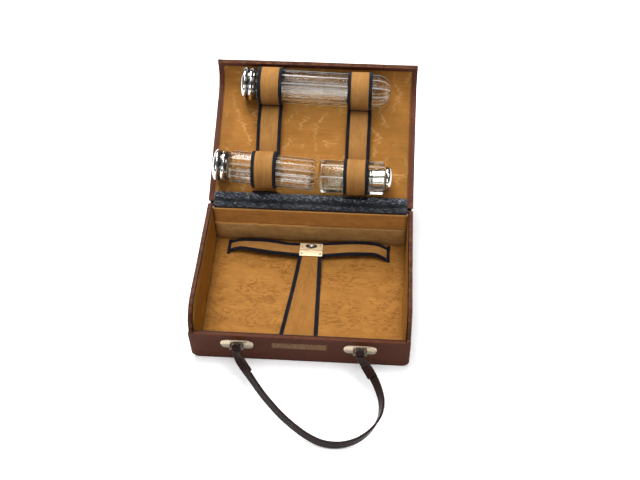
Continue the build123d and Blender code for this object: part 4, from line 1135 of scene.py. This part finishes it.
put(grooved(lathe("tube_silver", TUBE[0], TUBE[1], TUBE[2], TUBE[3], tube_cap, 112), TUBE,
            [(0, .15), (1.6, .05), (2.6, .45), (3.4, .1), (6.6, 0), (7.4, .75), (8.8, 1), (10.2, .75), (11.0, .05), (13.8, 0), (14.6, .8), (16.9, .9)]),
    "tube_top", ["tube_cap"], "silver")
bottle_cap = chaikin([(0, 0), (0, 8), (.8, 14.5), (2.4, 17.8), (4.2, 19.2), (6.6, 19.2), (8.2, 17.2), (9.4, 16.4), (10.6, 17.4),
                      (11.8, 18.2), (14.0, 18.2), (15.4, 16.6), (17.2, 16.2), (17.5, 15.9)], 3)
bottle_cap += chaikin([(17.3, 15.4), (15.0, 15.8), (13.6, 17.4), (12.2, 17.4), (11.2, 16.6), (9.4, 15.5), (7.7, 16.6), (6.2, 18.4), (4.5, 18.4), (3.1, 17.1), (1.6, 14.1), (.8, 8), (.8, 0)], 2)
put(grooved(lathe("bottle_silver", BOTTLE[0], BOTTLE[1], BOTTLE[2], BOTTLE[3], bottle_cap, 112), BOTTLE,
            [(0, .15), (1.6, .05), (2.6, .45), (3.4, .1), (6.8, 0), (7.9, .75), (9.4, 1), (10.6, .7), (11.4, .05), (14.2, 0), (15.2, .8), (17.5, .9)]),
    "bottle_top", ["bottle_cap"], "silver")
jar_cap = chaikin([(58.5, 9.8), (58.5, 10.4), (60.2, 10.4), (60.6, 10.0), (61.4, 10.0), (61.8, 10.4), (74.6, 10.4), (75.0, 10.0), (76.6, 10.2), (76.7, 13.2), (77.8, 14.3), (80.2, 14.3), (82.2, 13.1), (83.7, 10.2), (84.5, 6), (84.5, 0)], 2)
jar_cap += chaikin([(83.7, 0), (83.7, 6), (82.9, 9.7), (81.7, 12.4), (80.0, 13.5), (78.1, 13.5), (77.4, 12.8), (77.3, 9.6), (58.8, 9.6)], 2)
put(grooved(lathe("jar_silver", JAR[0], JAR[1], JAR[2], JAR[3], jar_cap, 112), JAR,
            [(58, .5), (60, .2), (61.0, .9), (62.0, .1), (74.2, .1), (75.4, .95), (76.6, .8), (77.4, .15), (80, 0), (82.0, .35), (83.2, .05), (85, .2)]),
    "jar_top", ["jar_cap"], "silver")

# ------------------------------------------------------------------ cross band in the base
top_y = [(-98, 72.0), (-91.6, 72.2), (-51.2, 72.2), (-24.4, 68.4), (3.4, 69.0), (31.4, 71.9), (59.2, 74.4), (85.3, 72.8), (95, 70.5)]
bot_y = [(-98, 55.5), (-94.1, 56.8), (-80.1, 57.0), (-41.9, 51.6), (-10.1, 49.4), (17.7, 50.2), (50.8, 54.6), (78.5, 55.6), (93.4, 51.6), (95, 51.4)]
mid_z = [(-98, 6.9), (-95.5, 7.4), (-91, 9.2), (-86, 11.6), (-80, 12.7), (-40, 12.9), (0, 12.7), (40, 13.0), (76, 12.8), (83, 11.8), (88, 9.2), (92, 7.4), (95, 6.9)]


def curve(table, x):
    return float(np.interp(x, [a for a, _ in table], [b for _, b in table]))


n = 150
xs = np.linspace(-97.8, 94.8, n)
sm = lambda a: np.convolve(np.pad(a, 4, mode="edge"), np.ones(9) / 9, "valid")
ty = sm(np.array([curve(top_y, x) for x in xs])); by = sm(np.array([curve(bot_y, x) for x in xs]))
zz = np.array([curve(mid_z, x) for x in xs])
zz[4:-4] = sm(zz)[4:-4]
C = np.stack([xs, (ty + by) / 2, zz], 1)
A = np.stack([np.zeros(n), ty - by, np.array([1.2 * nz(x, 0, 0, .03, 71) for x in xs])], 1)
W = np.linalg.norm(A, axis=1)
A /= W[:, None]
T = np.gradient(C, axis=0); T /= np.linalg.norm(T, axis=1)[:, None]
A -= T * (A * T).sum(1)[:, None]; A /= np.linalg.norm(A, axis=1)[:, None]
B = np.cross(T, A)
sec = np.array([[(a * (w - 6.0) / 18.0, b) for a, b in rrect(18.0, .95, .4, 2, 10)] for w in W])
put(sweep("band_ribbon", C, A, B, sec), "base", ["cross_band"], "silk_strap")
for which, sgn in (("rear", 1), ("front", -1)):
    Cb = C + A * (sgn * (W / 2 - 1.6))[:, None]
    put(sweep("band_tape_" + which, Cb, A, B, rrect(4.6, 1.6, .7, 3)), "base", ["cross_band_binding"] if sgn > 0 else [], "navy_binding")
ends = []
for k_, (x0, ya, yb) in enumerate(((-96.4, 53.6, 73.6), (93.6, 50.6, 73.6))):
    path = resample([(x0 - .6 * (1 if x0 < 0 else -1), ya, 7.4), (x0, ya + 1.2, 8.1), (x0, (ya + yb) / 2, 8.3), (x0 + .3, yb - 1.0, 8.1), (x0 + .9, yb + .4, 7.3)], .9)
    m_ = len(path)
    put(sweep("band_end_%d" % k_, path, np.tile([1.0, 0, 0], (m_, 1)), np.tile([0, 0, 1.0], (m_, 1)), rrect(3.6, 1.8, .8, 3)), "base", ["cross_band_tabs"] if k_ == 0 else [], "navy_binding")

# ------------------------------------------------------------------ tapered catch strap
Y0, Y1 = -78.4, 56.8


def hasp_edges(y):
    f = (y - Y0) / (Y1 - Y0)
    return -28.3 + f * 17.4, 18.1 - f * 2.8


n = 110
ys = np.linspace(Y0, Y1, n)
zt = [(-78.4, 6.75), (-60, 6.95), (-20, 7.15), (2, 7.35), (20, 9.6), (36, 12.4), (49.5, 14.6), (56.8, 14.65)]
zc = np.array([curve(zt, y) for y in ys]); zc[4:-4] = sm(zc)[4:-4]
xl = np.array([hasp_edges(y)[0] for y in ys]); xr = np.array([hasp_edges(y)[1] for y in ys])
C = np.stack([(xl + xr) / 2, ys, zc], 1)
T = np.gradient(C, axis=0); T /= np.linalg.norm(T, axis=1)[:, None]
A = np.tile([1.0, 0, 0], (n, 1)); A -= T * (A * T).sum(1)[:, None]; A /= np.linalg.norm(A, axis=1)[:, None]
B = np.cross(A, T)
wid = xr - xl
sec = np.array([[(a * (w - 7.6) / 30.0, b) for a, b in rrect(30.0, .95, .4, 2, 14)] for w in wid])


def sewn_foot(o, nodes, slot, mat=None):
    """The strap, sewn to the floor at its front end: gives it its material, bakes its place and hides its CAD nodes; it
    is attached to no body.
    """
    use(o, slot, mat)
    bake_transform(o)
    if nodes:
        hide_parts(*nodes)


sewn_foot(sweep("catch_ribbon", C, A, B, sec), ["hasp_strap"], "silk_strap", "silk_catch")
cut = ys < 50.5
for which, sgn in (("left", -1), ("right", 1)):
    Cb = (C + A * (sgn * (wid / 2 - 2.35))[:, None])[cut]
    sewn_foot(sweep("catch_tape_" + which, Cb, A[cut], B[cut], rrect(4.9, 1.5, .7, 3)), ["hasp_strap_binding"] if sgn < 0 else [], "navy_binding")

# ------------------------------------------------------------------ catch and handle metal
def soft_metal(name, node, body, slot, bevel, cell=0):
    o = from_cad(name, [node], bevel=bevel, cell=cell, amp=0, angle=30)
    put(o, body, [node], slot)
    return o


soft_metal("catch_face", "catch_plate", "base", "gilt_brass", .28)
soft_metal("catch_case", "catch_box", "base", "gilt_brass", .25)
# the flat ring spring under the push button's flange, with a mesh of its own
ring = from_cad("catch_ring_spring", ["catch_spring"], bevel=0, cell=0, amp=0)
put(ring, "base", ["catch_spring"], slot_of["catch_spring"])
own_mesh(ring)
use(soft_metal("catch_tongue", "hasp_plate", "hasp", "gilt_brass", .28), "gilt_brass", "gilt_tongue")


def slot_plate(name, cx, cz, y0, length_, height, thick, body, node, slot):
    """Slot-shaped plate standing on a wall: two faces that meet along its length, and a rolled rim."""
    r = height / 2
    half_ = length_ / 2 - r
    across = [(-1.0, .0), (-1.0, .5), (-.97, .85), (-.90, 1.08), (-.45, thick - .42), (.02, thick - .12), (.08, thick), (.14, thick - .08),
              (.55, thick - .55), (.88, 1.15), (.96, .9), (1.0, .5), (1.0, .0)]
    # painted shade: per point across the plate, the lower face and the rim against the wall are dark and the upper face
    # light, as if lit from above; carried in the 'groove' attribute
    tarnish_and_shade = [1, 1, .8, .62, .52, .50, .58, .16, .10, .06, .3, 1, 1]
    xs_ = [half_ + r * math.sin(rad(a_)) for a_ in np.linspace(0, 86, 14)]
    xs_ = [-x_ for x_ in xs_[::-1]] + list(np.linspace(-half_, half_, 14)[1:-1]) + xs_
    V, F, G = [], [], []
    kk = len(across)
    for x_ in xs_:
        over = max(0.0, abs(x_) - half_)
        hz = r * max(.06, 1 - (over / r) ** 3.0) ** (1 / 2.6)
        low = min(1.0, hz / r + .3)
        for (f, h_), g in zip(across, tarnish_and_shade):
            V.append((cx + x_, y0 - (h_ if h_ <= .5 else .5 + (h_ - .5) * low), cz + hz * f))
            G.append(g)
    for i in range(len(xs_) - 1):
        for j in range(kk - 1):
            F.append((i * kk + j, (i + 1) * kk + j, (i + 1) * kk + j + 1, i * kk + j + 1))
        F.append((i * kk + kk - 1, (i + 1) * kk + kk - 1, (i + 1) * kk, i * kk))
    F.append(tuple(range(kk)))
    F.append(tuple((len(xs_) - 1) * kk + j for j in range(kk - 1, -1, -1)))
    o = fix_normals(new_object(name, V, F, [(0, 0)] * len(V)))
    layer = o.data.attributes.new("groove", "FLOAT", "POINT")
    layer.data.foreach_set("value", G)
    sharpen(o, 34)
    return put(o, body, [node], slot)


for side, px in (("left", -67.8), ("right", 66.2)):
    lo_, hi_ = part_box("handle_plate_" + side)
    slot_plate("grip_plate_" + side, (lo_[0] + hi_[0]) / 2 / MM, (lo_[2] + hi_[2]) / 2 / MM, hi_[1] / MM + .25,
               (hi_[0] - lo_[0]) / MM, (hi_[2] - lo_[2]) / MM, 2.0, "base", "handle_plate_" + side, "plated_steel")
    staple = soft_metal("grip_staple_" + side, "handle_staple_" + side, "base", "plated_steel", .3)
    # painted shade: the staples are darkened all over by the 'groove' attribute, as they sit in the handle strap's
    # shade
    layer = staple.data.attributes.new("groove", "FLOAT", "POINT")
    layer.data.foreach_set("value", [.8] * len(staple.data.vertices))


def dome(name, x, y, z, a, b, h, rim, body, node, slot, mat=None, segs=64):
    """An oval domed button with a rolled rim."""
    prof = [(0.0, 1.0), (rim * .5, 1.0), (rim, .97), (h * .55, .86), (h * .85, .62), (h * .97, .32), (h, 0.0)]
    V, F = [], []
    for i, (dz, f) in enumerate(prof):
        if f == 0:
            V.append((x, y, z + dz))
            continue
        for k_ in range(segs):
            th = 2 * math.pi * k_ / segs
            V.append((x + a * f * math.cos(th), y + b * f * math.sin(th), z + dz))
    rings = len(prof) - 1
    for i in range(rings - 1):
        for k_ in range(segs):
            k2 = (k_ + 1) % segs
            F.append((i * segs + k_, i * segs + k2, (i + 1) * segs + k2, (i + 1) * segs + k_))
    tip_ = len(V) - 1
    for k_ in range(segs):
        F.append(((rings - 1) * segs + k_, (rings - 1) * segs + (k_ + 1) % segs, tip_))
    F.append(tuple(range(segs - 1, -1, -1)))
    o = fix_normals(new_object(name, V, F, [(0, 0)] * len(V)))
    # painted shade: the button's rim and foot are darkened by the 'groove' attribute, for the shaded gap round it
    layer = o.data.attributes.new("groove", "FLOAT", "POINT")
    layer.data.foreach_set("value", [.9 if v_.co.z / MM < z + rim * .8 else 0.0 for v_ in o.data.vertices])
    return put(o, body, [node] if node else [], slot, mat)


dome("catch_push", 2.4, 63.0, 14.5, 4.9, 2.15, 3.9, 1.5, "button", "catch_button", "gilt_brass", "silver")
# painted shade: a near-black oval in the hole under the push button
dome("catch_well_shade", 2.4, 62.6, 15.9, 7.2, 3.4, .7, .3, "base", None, "gilt_brass", "rivet_dark")

# ------------------------------------------------------------------ handle strap, twisted from flat at the bars to standing
DROP = rad(14.2)
AY, AZ = -91.5, 29.5
hp_y = np.array([0, -math.cos(DROP), -math.sin(DROP)])       # outwards on the handle's plane
hp_n = np.array([0, -math.sin(DROP), math.cos(DROP)])        # its upward normal


def HP(x, d, h=0.0):
    return np.array([x, AY, AZ]) + hp_y * d + hp_n * h


line = [(-67.8, 2.6), (-66.6, 6.6), (-64.7, 10.6), (-58.7, 19.9), (-46.6, 35.4), (-33.5, 51.3), (-17.1, 68.0), (-1.5, 80.8),
        (13.9, 90.9), (28.1, 97.1), (41.6, 99.1), (55.6, 97.5), (69.7, 91.4), (82.0, 80.4),
        (89.8, 65.8), (91.0, 50.5), (86.6, 35.8), (79.6, 22.1), (71.2, 10.6), (68.3, 6.4), (66.2, 2.6)]


def smooth_line(pts, n_):
    """Catmull-Rom through the points, evenly spaced."""
    pts = [np.array(p, float) for p in pts]
    P_ = [2 * pts[0] - pts[1]] + pts + [2 * pts[-1] - pts[-2]]
    out = []
    for i in range(1, len(P_) - 2):
        for t in np.linspace(0, 1, 24, endpoint=False):
            a, b, c, d = P_[i - 1], P_[i], P_[i + 1], P_[i + 2]
            out.append(.5 * (2 * b + (c - a) * t + (2 * a - 5 * b + 4 * c - d) * t * t + (3 * b - a - 3 * c + d) * t ** 3))
    out.append(pts[-1])
    out = np.array(out)
    run = np.concatenate([[0], np.cumsum(np.linalg.norm(np.diff(out, axis=0), axis=1))])
    at = np.linspace(0, run[-1], n_)
    return np.stack([np.interp(at, run, out[:, k]) for k in range(out.shape[1])], 1), run[-1]


n = 260
pl, length = smooth_line(line, n)
run = np.linspace(0, length, n)
C = np.array([HP(x, d) for x, d in pl])
T = np.gradient(C, axis=0); T /= np.linalg.norm(T, axis=1)[:, None]
side_in = np.cross(T, np.tile(hp_n, (n, 1)))                  # in-plane, across the band
side_in /= np.linalg.norm(side_in, axis=1)[:, None]
# lean of the band from upright: +90 flat at the left bar, leaning in along the left, on edge at the far right, leaning out on the right
lean_at = [(0, 90), (7, 84), (14, 58), (24, 36), (40, 28), (80, 24), (115, 20), (140, 18), (165, 12), (190, -2), (215, -22), (238, -40), (262, -46), (length - 32, -48), (length - 18, -58), (length - 7, -84), (length, -90)]
lean = np.radians(np.interp(run, [a for a, _ in lean_at], [b for _, b in lean_at]))
lean[8:-8] = np.convolve(np.pad(lean, 8, mode="edge"), np.ones(17) / 17, "valid")[8:-8]
zv = np.tile([0, 0, 1.0], (n, 1)) - T * T[:, 2:3]
zv /= np.linalg.norm(zv, axis=1)[:, None]
inw = np.cross(zv, T)
inw /= np.linalg.norm(inw, axis=1)[:, None]
mid_ = C[:, :2].mean(0)
inw *= np.sign(((mid_ - C[:, :2]) * inw[:, :2]).sum(1))[:, None]
inw[:40] = inw[40]; inw[-40:] = inw[-41]
inw -= T * (inw * T).sum(1)[:, None]; inw /= np.linalg.norm(inw, axis=1)[:, None]
A = zv * np.cos(lean)[:, None] + inw * np.sin(lean)[:, None]
B = np.cross(T, A)
half = 4.7
taper = np.interp(run, [0, 5, 12, length - 12, length - 5, length], [.86, .9, 1, 1, .9, .86])
sec = np.array([[(a * f, b) for a, b in rrect(2 * half, 2.5, .75, 3, 6)] for f in taper])
grip = sweep("grip_strap", C, A, B, sec)
wear_layer = grip.data.attributes.new("wear", "FLOAT", "POINT")
k = sec.shape[1]
w_ = np.tile(np.clip((np.abs(sec[0][:, 0]) - half * .80) / (half * .2), 0, 1), n)
wear_layer.data.foreach_set("value", w_.astype(np.float32))
put(grip, "handle", ["handle_strap"], "handle_leather")
# eyes round the bars, of the same strap
for name, x_mid in (("left", -67.8), ("right", 66.2)):
    m_ = 40
    th = np.linspace(-.15 * math.pi, 1.15 * math.pi, m_) + math.pi / 2 - DROP
    r_ = 2.75
    Ce = np.array([[x_mid, AY + r_ * math.cos(a), AZ + r_ * math.sin(a)] for a in th])
    Be = np.array([[0, math.cos(a), math.sin(a)] for a in th])
    Ae = np.tile([1.0, 0, 0], (m_, 1))
    eye = sweep("grip_eye_" + name, Ce, Ae, Be, rrect(9.4, 2.0, .7, 3, 4))
    eye.data.attributes.new("wear", "FLOAT", "POINT")
    put(eye, "handle", [], "handle_leather")
# the doubled-back ends, sewn along the inner face
for name, i0, i1, sgn in (("left", 8, 27, 1), ("right", n - 25, n - 10, 1)):
    seg_ = slice(i0, i1)
    off = np.cross(A[seg_], T[seg_])
    inward = off * np.sign((off * inw[seg_]).sum(1))[:, None]
    Ce = C[seg_] + inward * 2.45
    m_ = len(Ce)
    sec_ = np.array([[(a * 1.08, b) for a, b in rrect(2 * half, 2.4, .8, 3, 4)]] * m_)
    end = sweep("grip_end_" + name, Ce, A[seg_], np.cross(T[seg_], A[seg_]), sec_)
    end.data.attributes.new("wear", "FLOAT", "POINT")
    put(end, "handle", ["handle_end_" + name], "handle_leather")

# ------------------------------------------------------------------ floor and light
bpy.ops.mesh.primitive_plane_add(size=16, location=(0, 0, -0.0004))
floor = bpy.context.object
floor.name = "studio_floor"
fm = bpy.data.materials.new("studio_floor")
fm.use_nodes = True
fm.node_tree.nodes["Principled BSDF"].inputs["Base Color"].default_value = (.93, .93, .93, 1)
fm.node_tree.nodes["Principled BSDF"].inputs["Roughness"].default_value = .9
fm.node_tree.nodes["Principled BSDF"].inputs["Specular IOR Level"].default_value = .1
fm.node_tree.nodes["Principled BSDF"].inputs["Emission Color"].default_value = (1, 1, 1, 1)
fm.node_tree.nodes["Principled BSDF"].inputs["Emission Strength"].default_value = .22
floor.data.materials.append(fm)

world = bpy.data.worlds.new("studio")
scene.world = world
world.use_nodes = True
wt = world.node_tree
bg = wt.nodes["Background"]
tc = wt.nodes.new("ShaderNodeTexCoord")
sx = wt.nodes.new("ShaderNodeSeparateXYZ")
wt.links.new(tc.outputs["Generated"], sx.inputs[0])
rp = wt.nodes.new("ShaderNodeValToRGB")
wt.links.new(sx.outputs["Z"], rp.inputs[0])
el = rp.color_ramp.elements
el[0].position = 0.0; el[0].color = (.80, .80, .80, 1)
el[1].position = 1.0; el[1].color = (.38, .41, .46, 1)
for pos, c in ((.09, .70), (.13, .04), (.18, .60), (.28, .65), (.33, .04), (.52, .06), (.62, .36)):
    e = el.new(pos); e.color = (c, c, c, 1)
wt.links.new(rp.outputs["Color"], bg.inputs["Color"])
bg.inputs["Strength"].default_value = .42


def area(name, loc, target, size, power, color=(1, 1, 1), size_y=None):
    d = bpy.data.lights.new(name, "AREA")
    d.energy = power
    d.color = color
    d.shape = "RECTANGLE"
    d.size = size
    d.size_y = size_y or size
    o = bpy.data.objects.new(name, d)
    scene.collection.objects.link(o)
    o.location = loc
    o.rotation_euler = (Vector(target) - Vector(loc)).to_track_quat("-Z", "Y").to_euler()
    return o


area("key", (-.45, 1.0, 1.45), (0, .05, 0), .8, 36)
area("fill", (.75, -.1, 1.7), (0, 0, 0), .7, 6)
area("front", (-.1, -1.5, 1.0), (0, 0, .02), .7, 7)
top = area("top", (-.05, .12, 1.9), (0, .1, 0), 1.4, 27)
top.visible_glossy = False
area("strip", (0, .25, 1.9), (0, .1, 0), 1.6, 3.2, size_y=.16)


for side in ("left", "right"):
    name = "lid_ribbon_" + side
